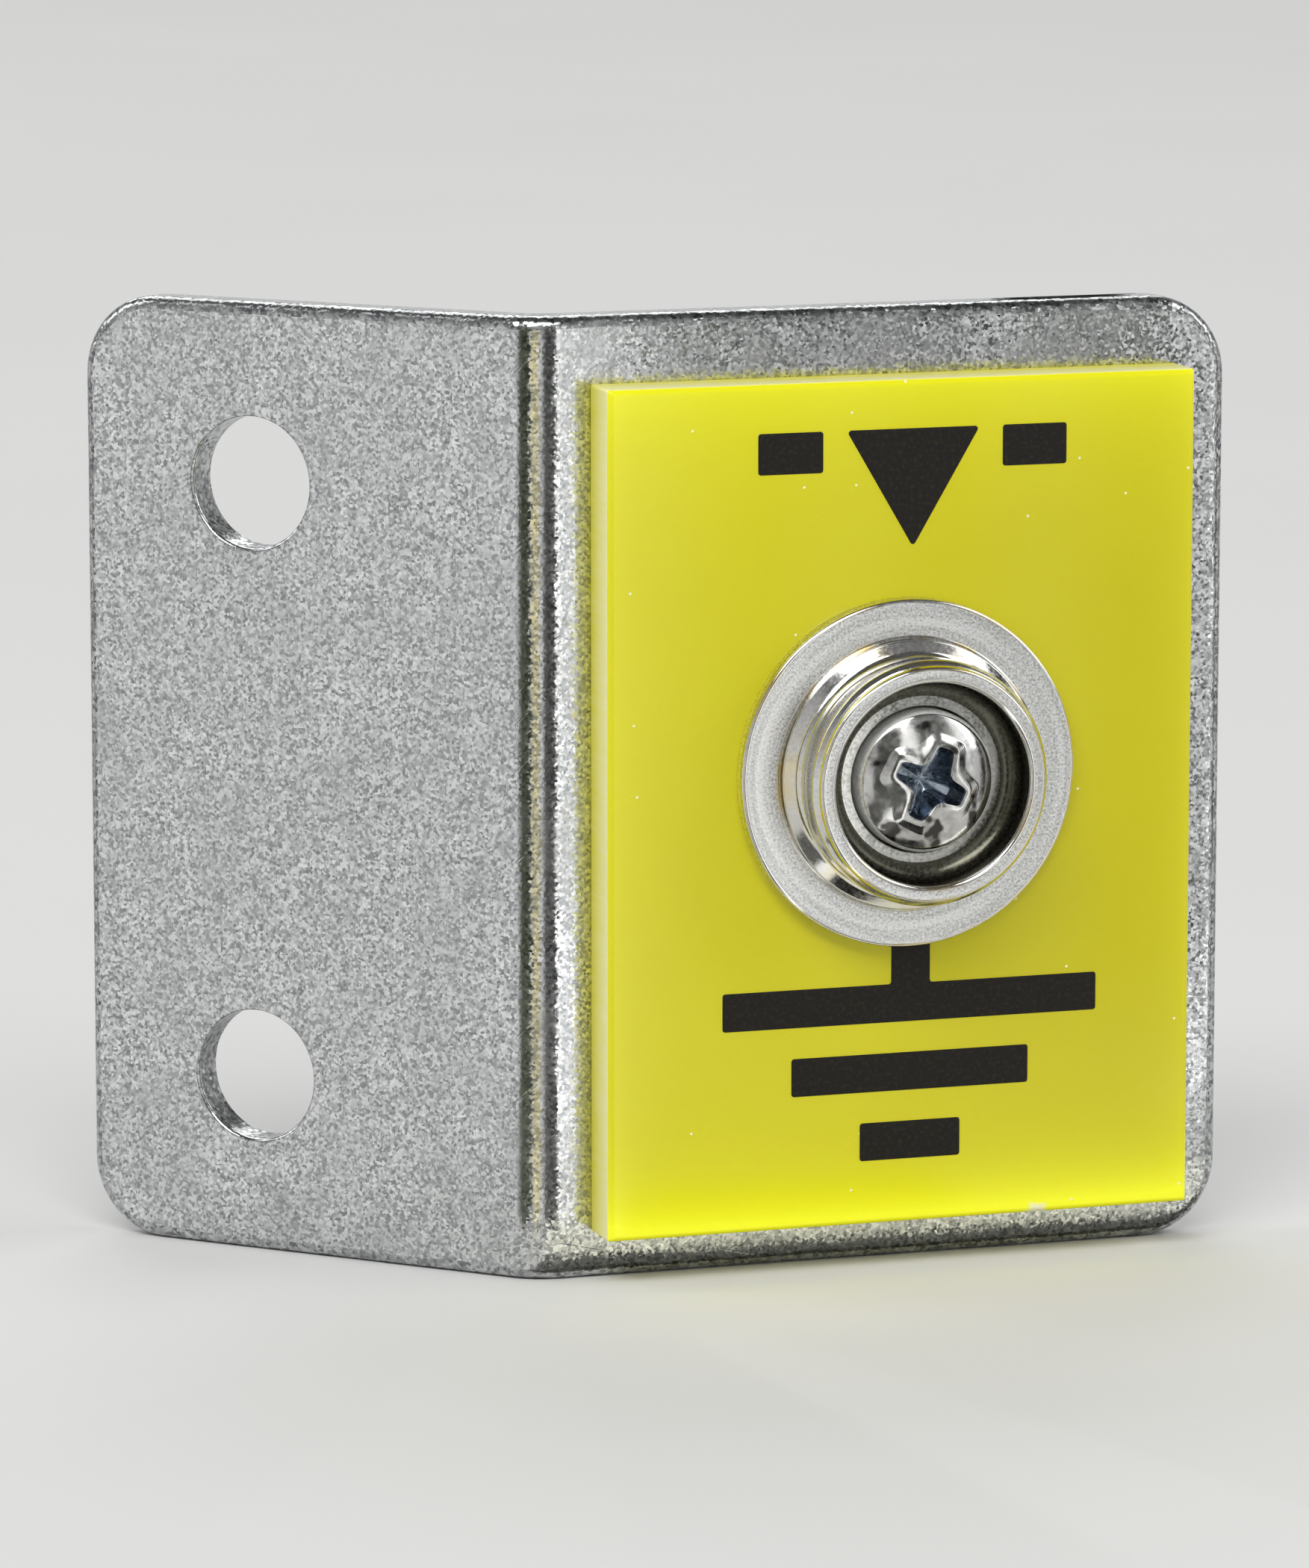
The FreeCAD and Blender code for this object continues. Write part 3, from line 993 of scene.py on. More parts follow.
@dataclass(frozen=True)
class StudioCard(Finish):
    """Matt painted card of the studio: floor, flag or panel. The eye sees a plain tone with no gloss."""

    tone: str = "#D9D9D8"
    mottle: str = "#D5D5D4"
    size: float = 60.0
    lit: float = 0.0
    roughness: float = 0.9
    specular: float = 0.1

    def draw(self, tree: bpy.types.NodeTree, place: bpy.types.NodeSocket) -> bpy.types.Node:
        """Adds a faint unevenness to a matt tone.

        Args:
            tree: the material's node tree.
            place: the object's own coordinates, in metres.

        Returns:
            The shader node.
        """
        clouds = add_node(tree, "ShaderNodeTexNoise", {"Scale": per_mm(self.size)}, {"Vector": place})
        colour = add_node(
            tree,
            "ShaderNodeMix",
            {"data_type": "RGBA", "A_Color": linear(self.tone), "B_Color": linear(self.mottle)},
            {"Factor_Float": clouds},
        )
        return add_node(
            tree,
            "ShaderNodeBsdfPrincipled",
            {
                "Roughness": self.roughness,
                "Specular IOR Level": self.specular,
                "Emission Color": linear(self.tone),
                "Emission Strength": self.lit,
            },
            {"Base Color": colour},
        )


# Bright zinc on rolled sheet gives a cool grey mirror, in which crystals glitter one by one
ZINC = ZincPlate("bright_zinc_plated_sheet")
# Zinc on a rolled and torn edge gives a darker, coarser glitter
SHEARED_ZINC = ZincPlate(
    "zinc_plated_sheared_edge",
    light="#E0E2E2",
    dark="#66696B",
    cloud="#969898",
    crystal=0.16,
    tilt=0.2,
    grain_height=0.004,
    smooth=0.12,
    dull=0.28,
)
# Cast acrylic gives an even gloss; a painted glow makes its yellow brighter towards its cut edges, and
# painted shade darker to the right
LABEL_FRONT = LabelFront("cast_yellow_acrylic")
# Sawing frosts the acrylic, so that its edge looks pale and dull over a yellow with a painted glow
LABEL_EDGE = SawnAcrylic("sawn_yellow_acrylic")
# Screen ink dries to a warm black film, half dull, with thin places
INK = ScreenInk("screen_printed_black_ink")
# Turned, buffed and plated nickel gives sharp reflections drawn out round the axis; its gold patches are
# painted warm reflections
POLISHED_NICKEL = TurnedMetal(
    "polished_nickel_plate",
    ring=0.2,
    ring_height=0.0022,
    # Gold patches: painted warm reflections
    stain_and_reflection="#DCCA9C",
    stain_and_reflection_size=2.2,
    stain_and_reflection_from=0.5,
    stain_and_reflection_fade=0.3,
)
# Nickel over barrel ground metal gives a pale sheen with fine grit and soft rings
GROUND_NICKEL = TurnedMetal(
    "barrel_ground_nickel_plate",
    light="#FAFAF9",
    dark="#BEBEBC",
    ring=0.5,
    ring_height=0.008,
    ring_tone=2.4,
    grain=0.1,
    grain_height=0.005,
    smooth=0.22,
    dull=0.38,
)
# Nickel over a faced floor gives a half dull grey with tool marks
FACED_NICKEL = TurnedMetal(
    "faced_nickel_plate",
    light="#D6D6D2",
    dark="#92928C",
    ring=0.3,
    ring_height=0.004,
    ring_tone=1.2,
    grain_height=0.002,
    smooth=0.12,
    dull=0.24,
)
# Nickel goes on thin in a bore and leaves the wall half dull; its dark, brownish colour is painted shade of
# the recess
BORE_SHADE_NICKEL = TurnedMetal(
    "bore_nickel_painted_shade",
    light="#605F56",
    dark="#454439",
    ring=0.2,
    ring_height=0.003,
    grain_height=0.002,
    smooth=0.2,
    dull=0.32,
)
# Nickel on a cold headed crown gives a bright, dented mirror; its dark spots are painted dark reflections
SCREW_CROWN = TurnedMetal(
    "nickel_plated_cold_headed_steel",
    light="#DAD9D6",
    dark="#B4B4B2",
    ring=0.5,
    grain=0.4,
    grain_height=0.004,
    # Dark spots: painted dark reflections
    stain_and_reflection_size=1.1,
    stain_and_reflection_from=0.56,
    smooth=0.08,
    dull=0.2,
)
# Rolling leaves the side of the head rough and matt; its very pale colour is painted light that lifts the
# side out of the recess's shade
HEAD_SIDE = TurnedMetal(
    "nickel_plated_rolled_head_side",
    light="#F6F6F4",
    dark="#E0E0DE",
    ring=0.15,
    ring_height=0.002,
    smooth=0.7,
    dull=0.85,
)
# The cross recess gets a dark blue grey, painted shade and dark reflections of the recess, with faint
# gleams
RECESS_SHADE_STEEL = TurnedMetal(
    "cross_recess_painted_shade",
    light="#9DA6B0",
    dark="#67717D",
    grain_height=0.003,
    smooth=0.15,
    dull=0.3,
)
# Zinc on hardened spring steel gives an even, half dull grey
SPRING_STEEL = TurnedMetal(
    "zinc_plated_spring_steel",
    light="#B7B8B4",
    dark="#8B8C88",
    grain_height=0.005,
    smooth=0.22,
    dull=0.4,
)
# Zinc on cold formed steel gives a half bright grey with a few dark spots
NUT_STEEL = TurnedMetal(
    "zinc_plated_cold_formed_steel",
    light="#C6C8C9",
    dark="#9DA0A2",
    ring=0.25,
    ring_height=0.002,
    grain_height=0.004,
    stain_and_reflection_from=0.66,
    smooth=0.18,
    dull=0.34,
)
# Matt paint gives the floor one pale tone that takes the part's shadow
FLOOR = StudioCard("matt_studio_floor")
# Painted cards give polished metal plain dark, tan and white tones to mirror
BLACK_FLAG = StudioCard("matt_black_flag", tone="#1C1C1C", mottle="#161616")
GREY_FLAG = StudioCard("matt_green_grey_flag", tone="#5C6150", mottle="#565B4A")
DARK_CARD = StudioCard("dark_grey_card", tone="#6E6E6C", mottle="#5A5A58")
CREAM_CARD = StudioCard("cream_card", tone="#FAF9F0", mottle="#F4F3EA")
TAN_CARD = StudioCard("tan_card", tone="#CFC6A0", mottle="#C9C09A", lit=0.6)
LIGHT_PANEL = StudioCard("lit_white_panel", tone="#F4F4F4", mottle="#F0F0F0", lit=0.85)


@dataclass
class Draft:
    """A mesh in the making: points in millimetres, faces, and the finish of each face."""

    points: list[Vector] = field(default_factory=list)
    faces: list[tuple[int, ...]] = field(default_factory=list)
    finishes: list[int] = field(default_factory=list)

    def loop(self, points: Sequence[Vector]) -> list[int]:
        """Adds points.

        Args:
            points: the points, in millimetres.

        Returns:
            Their numbers in the mesh.
        """
        start = len(self.points)
        self.points.extend(points)
        return list(range(start, len(self.points)))

    def face(self, corners: Sequence[int], finish: int) -> None:
        """Adds one face with its finish."""
        self.faces.append(tuple(corners))
        self.finishes.append(finish)

    def bridge(self, first: Sequence[int], second: Sequence[int], finish: int = 0) -> None:
        """Joins two closed loops by a band of faces.

        Args:
            first: point numbers of one loop, or of a single point that closes the band.
            second: point numbers of the other loop, or of a single point.
            finish: finish of the band.
        """
        count = max(len(first), len(second))
        for here in range(count):
            there = (here + 1) % count
            if len(first) == 1:
                self.face((first[0], second[there], second[here]), finish)
            elif len(second) == 1:
                self.face((first[here], first[there], second[0]), finish)
            else:
                self.face((first[here], first[there], second[there], second[here]), finish)

    def cap(self, loops: Sequence[Sequence[int]], finish: int = 0) -> None:
        """Fills a flat area by triangles.

        Args:
            loops: the outer loop, then the loops of the holes in it.
            finish: finish of the area.
        """
        numbers = [number for loop in loops for number in loop]
        flat = [self.points[number].xy for number in numbers]
        outlines = []
        for loop in loops:
            start = sum(len(outline) for outline in outlines)
            outlines.append(list(range(start, start + len(loop))))
        filled = delaunay_2d_cdt(flat, [], outlines, INSIDE_WITH_HOLES, TINY)
        _, _, triangles, sources, _, _ = filled
        for triangle in triangles:
            self.face([numbers[sources[corner][0]] for corner in triangle], finish)

    def stack(
        self, rings: Sequence[Sequence[Vector]], finishes: Sequence[int]
    ) -> tuple[list[int], list[int]]:
        """Joins closed rings of points, each to the next.

        Args:
            rings: the rings, all with as many points.
            finishes: finish of the band that starts at each ring.

        Returns:
            Point numbers of the first and the last ring.
        """
        loops = [self.loop(ring) for ring in rings]
        for first, second, finish in zip(loops, loops[1:], finishes):
            self.bridge(first, second, finish)
        return loops[0], loops[-1]

    def edge(
        self,
        outline: Sequence[Vector],
        profile: Profile,
        finishes: Optional[Sequence[int]] = None,
        wander: float = 0.0,
    ) -> tuple[list[int], list[int]]:
        """Builds the edge of a flat piece: the outline carried along a profile.

        Args:
            outline: closed outline in the flat, with the material on its left.
            profile: pairs of inset and depth, from the front face to the back face.
            finishes: finish of the band that starts at each pair, or the first finish for all.
            wander: share by which the inset comes and goes along the outline.

        Returns:
            Point numbers of the first and the last ring.
        """
        count = len(outline)
        inward = []
        for here, point in enumerate(outline):
            before = (point - outline[here - 1]).normalized()
            after = (outline[(here + 1) % count] - point).normalized()
            left = Vector((-before.y - after.y, before.x + after.x)) / (1 + before.dot(after))
            sway = 1 + wander * noise.noise(Vector((point.x, point.y, 0.0)) * EDGE_WANDER_PER_MM)
            inward.append(left * sway)
        rings = []
        for inset, depth in profile:
            ring = [point + way * inset for point, way in zip(outline, inward)]
            rings.append([Vector((point.x, point.y, depth)) for point in ring])
        return self.stack(rings, finishes or [0] * len(rings))

    def to_object(
        self,
        name: str,
        finishes: Sequence[Finish],
        place: Matrix,
        shape: Optional[Callable[[Vector], Vector]] = None,
    ) -> bpy.types.Object:
        """Turns the draft into a shaded object.

        Args:
            name: name of the object.
            finishes: the finishes that the faces' numbers mean.
            place: where the object goes, in metres.
            shape: moves each point from the flat to its real place, in millimetres.

        Returns:
            The object, linked to the scene.
        """
        mesh = bpy.data.meshes.new(name)
        points = [shape(point) if shape else point for point in self.points]
        mesh.from_pydata([point * MM for point in points], [], self.faces)
        mesh.polygons.foreach_set("material_index", self.finishes)
        model = bmesh.new()
        model.from_mesh(mesh)
        bmesh.ops.recalc_face_normals(model, faces=model.faces)
        model.to_mesh(mesh)
        model.free()
        for finish in finishes:
            mesh.materials.append(finish.material())
        mesh.shade_smooth()
        mesh.set_sharp_from_angle(angle=SHARP_ANGLE)
        piece = bpy.data.objects.new(name, mesh)
        bpy.context.scene.collection.objects.link(piece)
        piece.matrix_world = place
        shading = piece.modifiers.new("even_shading", "WEIGHTED_NORMAL")
        shading.keep_sharp = True
        return piece


def arc(centre: Vector, radius: float, start: float, end: float, steps: int) -> list[Vector]:
    """Points along an arc in the flat.

    Args:
        centre: centre of the arc.
        radius: its radius.
        start: first angle, in radians.
        end: last angle.
        steps: number of steps between them.

    Returns:
        The points, both ends included.
    """
    angles = [start + (end - start) * step / steps for step in range(steps + 1)]
    return [centre + Vector((math.cos(angle), math.sin(angle))) * radius for angle in angles]


def hole(x: float, y: float, radius: float, steps: int = 96) -> list[Vector]:
    """Outline of a round hole, with the material on its left."""
    return arc(Vector((x, y)), radius, FULL_TURN, 0.0, steps)[:-1]


def rounded(
    corners: Sequence[tuple[float, float, float]], closed: bool = True, steps: int = 8
) -> list[Vector]:
    """Rounds the corners of an outline.

    Args:
        corners: x, y and rounding radius of each corner.
        closed: whether the last corner joins the first.
        steps: steps of each rounding.

    Returns:
        The outline's points.
    """
    places = [Vector((x, y)) for x, y, _ in corners]
    points: list[Vector] = []
    for here, (_, _, radius) in enumerate(corners):
        at_end = not closed and here in (0, len(corners) - 1)
        if radius == 0 or at_end:
            points.append(places[here])
            continue
        back = (places[here - 1] - places[here]).normalized()
        ahead = (places[(here + 1) % len(places)] - places[here]).normalized()
        half = back.angle(ahead) / 2
        middle = (back + ahead).normalized()
        centre = places[here] + middle * radius / math.sin(half)
        first = places[here] + back * radius / math.tan(half) - centre
        sweep = math.pi - 2 * half
        side = 1 if back.x * ahead.y - back.y * ahead.x < 0 else -1
        start = math.atan2(first.y, first.x)
        points += arc(centre, radius, start, start + side * sweep, steps)
    return points


def quarter_round(radius: float, steps: int) -> Profile:
    """Profile of an edge rounded from the front face to the side."""
    turns = [QUARTER_TURN * step / steps for step in range(steps + 1)]
    return [(radius * (1 - math.sin(turn)), radius * (1 - math.cos(turn))) for turn in turns]


def front_first(point: Vector) -> Vector:
    """Turns depth below a front face to height along the plate's normal."""
    return Vector((point.x, point.y, -point.z))


@dataclass
class PlateFrame:
    """The stud's axis and the plate's front face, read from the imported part."""

    out: Vector
    along: Vector
    foot: Vector

    @classmethod
    def read(cls) -> "PlateFrame":
        """Reads the axis from the snap head's mount and the face from the label's back.

        Returns:
            The frame.
        """
        mount = next(item for item in frame["record"]["mounts"] if item["name"] == "snap_head")
        out = Vector(mount["axis"]).normalized()
        point = Vector(mount["pos_m"])
        face = min(vertex.co.dot(out) for vertex in frame["nodes"]["label_plate"].data.vertices)
        return cls(out, UP.cross(out), point + out * (face - point.dot(out)))

    def place(self, height: float) -> Matrix:
        """Local X along the plate, Y up and Z out, `height` millimetres in front of the face."""
        turned = Matrix((self.along, UP, self.out)).transposed().to_4x4()
        return Matrix.Translation(self.foot + self.out * height * MM) @ turned

    def bend_angle(self) -> float:
        """Turn between the flange, which looks along -Y, and the plate."""
        return math.atan2(self.out.x, -self.out.y)


def register(piece: bpy.types.Object, node: Optional[str] = None) -> None:
    """Ties a piece to the part's body and hides the solid that it stands for.

    Args:
        piece: the finished piece.
        node: the solid, where there is one.
    """
    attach(piece, BODY)
    if node:
        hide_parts(node)
    log.info("%s: %d faces", piece.name, len(piece.data.polygons))


@dataclass
class Bracket:
    """The bent sheet with its fixing flange and its plate."""

    plate: PlateFrame
    thickness: float = SHEET_THICKNESS
    inside_radius: float = BEND_RADIUS
    hole_to_bend: float = HOLE_TO_BEND
    plate_width: float = 29.0
    corner_radius: float = 3.3
    edge_roll: float = 0.5
    roll_margin: float = 0.3
    back_burr: float = 0.05
    edge_wander: float = 0.16
    edge_step: float = 1.0
    fixing_hole: float = 5.5
    stud_hole: float = SCREW_HOLE
    stud_along: float = 13.95
    hole_roll: float = 0.16
    bend_steps: int = 18
    corner_steps: int = 14
    roll_steps: int = 8
    hole_steps: int = 5

    def bend(self, point: Vector) -> Vector:
        """Folds a point of the flat sheet about the bend.

        Args:
            point: place along the sheet, height, and depth below the outer face.

        Returns:
            The point in the part's frame.
        """
        reach = self.inside_radius + self.thickness - point.z
        centre = Vector((self.hole_to_bend, self.inside_radius + self.thickness, point.y))
        past = point.x - self.hole_to_bend
        turn = min(max(past / self.bend_length(), 0.0), 1.0) * self.plate.bend_angle()
        beyond = min(past, 0.0) + max(past - self.bend_length(), 0.0)
        swing = Vector((math.sin(turn), -math.cos(turn), 0.0)) * reach
        return centre + swing + Vector((math.cos(turn), math.sin(turn), 0.0)) * beyond

    def bend_length(self) -> float:
        """Length of the bend in the flat, along the middle of the sheet."""
        return (self.inside_radius + self.thickness / 2) * self.plate.bend_angle()

    def bend_end(self) -> float:
        """Where the bend ends and the plate starts, in the flat."""
        return self.hole_to_bend + self.bend_length()

    def corner(self, x: float, y: float, start: float) -> list[Vector]:
        """The quarter round of a corner about (x, y), from the angle `start`."""
        return arc(Vector((x, y)), self.corner_radius, start, start + QUARTER_TURN, self.corner_steps)

    def straight(self, first: Vector, last: Vector) -> list[Vector]:
        """Points between two ends of a straight edge, without the ends."""
        steps = max(2, round((last - first).length / self.edge_step))
        return [first.lerp(last, step / steps) for step in range(1, steps)]

    def free_edge(self, first: Vector, corners: Sequence[list[Vector]], last: Vector) -> list[Vector]:
        """The edge of the flange or the plate, from the bend round two corners and back to it.

        Args:
            first: where the edge leaves the bend.
            corners: points of the two rounded corners.
            last: where it comes back to the bend.

        Returns:
            Points of the edge, without both ends.
        """
        near, far = corners
        return (
            self.straight(first, near[0])
            + near
            + self.straight(near[-1], far[0])
            + far
            + self.straight(far[-1], last)
        )

    def rolled(self, radius: float, steps: int) -> Profile:
        """Profile of a punched edge, with a flat margin that keeps the shading of the face even.

        Args:
            radius: radius of the roll at the front.
            steps: steps of the roll.

        Returns:
            Pairs of inset and depth.
        """
        broken = [(0.0, self.thickness - self.back_burr), (self.back_burr, self.thickness)]
        return [(radius + self.roll_margin, 0.0)] + quarter_round(radius, steps) + broken

    def build(self) -> None:
        """Builds the sheet in the flat, bends it and dresses it in zinc."""
        face, cut = SheetFinish.FACE, SheetFinish.CUT
        low, high = (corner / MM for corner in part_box("mounting_bracket"))
        radius = self.corner_radius
        left, right = low.x + radius, self.bend_end() + self.plate_width - radius
        bottom, top = low.z + radius, high.z - radius
        steps = [
            self.hole_to_bend + self.bend_length() * step / self.bend_steps
            for step in range(self.bend_steps + 1)
        ]
        lower_bend = [Vector((step, low.z)) for step in steps]
        upper_bend = [Vector((step, high.z)) for step in reversed(steps)]
        plate_corners = self.corner(right, bottom, 3 * QUARTER_TURN), self.corner(right, top, 0.0)
        flange_corners = self.corner(left, top, QUARTER_TURN), self.corner(left, bottom, 2 * QUARTER_TURN)
        plate_edge = self.free_edge(lower_bend[-1], plate_corners, upper_bend[0])
        flange_edge = self.free_edge(upper_bend[-1], flange_corners, lower_bend[0])
        draft = Draft()
        edges = draft.edge(
            lower_bend + plate_edge + upper_bend + flange_edge,
            self.rolled(self.edge_roll, self.roll_steps),
            [face] + [cut] * self.roll_steps + [face, face],
            self.edge_wander,
        )
        punched = self.rolled(self.hole_roll, self.hole_steps)
        punched_finishes = [face] * (1 + self.hole_steps) + [cut, face]
        pattern = next(item for item in frame["record"]["mounts"] if item["name"] == "fixing_holes")
        half_pitch = pattern["dims"]["spacing_y_mm"] / 2
        flange_holes = [
            draft.edge(hole(0.0, height, self.fixing_hole / 2), punched, punched_finishes)
            for height in (half_pitch, -half_pitch)
        ]
        stud_hole = hole(self.bend_end() + self.stud_along, self.plate.foot.z / MM, self.stud_hole / 2)
        plate_hole = draft.edge(stud_hole, punched, punched_finishes)
        first_plate = len(lower_bend)
        first_upper = first_plate + len(plate_edge)
        first_flange = first_upper + len(upper_bend)
        # The front of the sheet comes first, then its back
        for ring, plate_mouth, *flange_mouths in zip(edges, plate_hole, *flange_holes):
            draft.cap([ring[first_plate - 1:first_upper + 1], plate_mouth])
            draft.cap([ring[first_flange - 1:] + ring[:1], *flange_mouths])
            for step in range(self.bend_steps):
                below = ring[step:step + 2]
                above = ring[first_flange - 2 - step:first_flange - step]
                draft.face((*below, *above), face)
        piece = draft.to_object("zinc_bracket", [ZINC, SHEARED_ZINC], Matrix.Identity(4), self.bend)
        register(piece, "mounting_bracket")


@dataclass
class Label:
    """The plastic label and the signs printed on it."""

    plate: PlateFrame
    left: float = LABEL_LEFT
    right: float = LABEL_RIGHT
    top: float = LABEL_TOP
    bottom: float = LABEL_BOTTOM
    thickness: float = LABEL_THICKNESS
    edge_round: float = 0.26
    back_break: float = 0.05
    corner: float = 0.1
    screw_hole: float = SCREW_HOLE
    round_steps: int = 6
    corner_steps: int = 4
    ink_thickness: float = 0.03
    ink_bevel: float = 1 / 3
    ink_round: float = 0.12
    sign_middle: float = 0.35
    arrow_top: float = 14.2
    arrow_point: float = 9.3
    arrow_half: float = 2.9
    dash_bottom: float = 12.5
    dash_inner: float = 3.9
    dash_outer: float = 6.7
    stem_top: float = -6.9
    stem_half: float = 0.85
    bar_top: float = -8.9
    bar_height: float = 1.6
    bar_spacing: float = 2.9
    bar_halves: tuple[float, float, float] = (8.2, 5.2, 2.2)

    def build(self) -> None:
        """Builds the label and its print."""
        front, wall = LabelFinish.FRONT, LabelFinish.WALL
        softened = quarter_round(self.edge_round, self.round_steps)
        profile = softened + [(0.0, self.thickness - self.back_break), (self.back_break, self.thickness)]
        rings = []
        for inset, depth in profile:
            corners = [
                (self.left + inset, self.bottom + inset, self.corner),
                (self.right - inset, self.bottom + inset, self.corner),
                (self.right - inset, self.top - inset, self.corner),
                (self.left + inset, self.top - inset, self.corner),
            ]
            outline = rounded(corners, steps=self.corner_steps)
            rings.append([Vector((point.x, point.y, depth)) for point in outline])
        # The front's gloss goes round the edge, up to the last step of the rounding
        glossy = self.round_steps - 1
        draft = Draft()
        edges = draft.stack(rings, [front] * glossy + [wall] * (len(rings) - glossy))
        through = [(0.0, 0.0), (0.0, self.thickness)]
        bore = draft.edge(hole(0.0, 0.0, self.screw_hole / 2), through, [wall])
        draft.cap([edges[0], bore[0]], front)
        draft.cap([edges[1], bore[1]], wall)
        place = self.plate.place(self.thickness)
        piece = draft.to_object("yellow_label", [LABEL_FRONT, LABEL_EDGE], place, front_first)
        register(piece, "label_plate")
        self.print_sign("print_arrow", self.arrow())
        self.print_sign("print_earth_sign", self.earth_sign())

    def inked(self, corners: Sequence[tuple[float, float, float]]) -> list[Vector]:
        """Outline of a field of ink, from x, y and rounding of its corners about the sign's middle."""
        moved = [(x + self.sign_middle, y, radius) for x, y, radius in corners]
        return rounded(moved, steps=self.corner_steps)

    def bar(self, left: float, right: float, bottom: float, top: float) -> list[Vector]:
        """Outline of a printed bar with soft corners."""
        corners = (left, bottom), (right, bottom), (right, top), (left, top)
        return self.inked([(x, y, self.ink_round) for x, y in corners])

    def arrow(self) -> list[list[Vector]]:
        """Draws the arrow that points down to the stud, between two dashes.

        Returns:
            Outlines of its fields of ink.
        """
        half, top, soft = self.arrow_half, self.arrow_top, self.ink_round
        return [
            self.inked([(0.0, self.arrow_point, soft), (half, top, soft), (-half, top, soft)]),
            self.bar(-self.dash_outer, -self.dash_inner, self.dash_bottom, top),
            self.bar(self.dash_inner, self.dash_outer, self.dash_bottom, top),
        ]

    def earth_sign(self) -> list[list[Vector]]:
        """Draws the earth sign below the stud: a stem and three shrinking bars.

        Returns:
            Outlines of its fields of ink.
        """
        widest, *others = self.bar_halves
        stem, soft = self.stem_half, self.ink_round
        top, bottom = self.bar_top, self.bar_top - self.bar_height
        stem_and_bar = [
            (-widest, bottom, soft),
            (widest, bottom, soft),
            (widest, top, soft),
            (stem, top, soft),
            (stem, self.stem_top, 0.0),
            (-stem, self.stem_top, 0.0),
            (-stem, top, soft),
            (-widest, top, soft),
        ]
        outlines = [self.inked(stem_and_bar)]
        for number, half in enumerate(others, start=1):
            drop = self.bar_spacing * number
            outlines.append(self.bar(-half, half, bottom - drop, top - drop))
        return outlines

    def print_sign(self, name: str, outlines: Sequence[Sequence[Vector]]) -> None:
        """Lays an ink film in the given outlines on the label's front.

        Args:
            name: name of the piece.
            outlines: closed outlines, each a field of ink.
        """
        draft = Draft()
        film, bevel = self.ink_thickness, self.ink_thickness * self.ink_bevel
        for outline in outlines:
            for ring in draft.edge(outline, [(film, 0.0), (bevel, bevel), (0.0, film)]):
                draft.cap([ring])
        place = self.plate.place(self.thickness + film)
        piece = draft.to_object(name, [INK], place, front_first)
        register(piece)


def lathe(
    draft: Draft, rings: Sequence[Ring], finishes: Sequence[int], segments: int, closed: bool = False
) -> None:
    """Builds a body of rings about the local Z axis.

    Args:
        draft: the mesh in the making.
        rings: for each ring, radius and height at an angle. A ring of no radius is a single point.
        finishes: finish of the band that starts at each ring.
        segments: steps round the axis.
        closed: whether the last ring joins the first.
    """
    angles = [FULL_TURN * step / segments for step in range(segments)]
    loops = []
    for ring in rings:
        places = [(angle, *ring(angle)) for angle in angles]
        if all(radius == 0 for _, radius, _ in places):
            places = places[:1]
        loops.append(
            draft.loop([Vector((r * math.cos(a), r * math.sin(a), height)) for a, r, height in places])
        )
    pairs = list(zip(loops, loops[1:]))
    if closed:
        pairs.append((loops[-1], loops[0]))
    for (first, second), finish in zip(pairs, finishes):
        draft.bridge(first, second, finish)


def round_ring(radius: float, height: float) -> Ring:
    """Makes a plain ring.

    Args:
        radius: its radius.
        height: its height along the axis.

    Returns:
        The ring.
    """

    def ring(_: float) -> tuple[float, float]:
        """The same radius and height at every angle."""
        return radius, height

    return ring


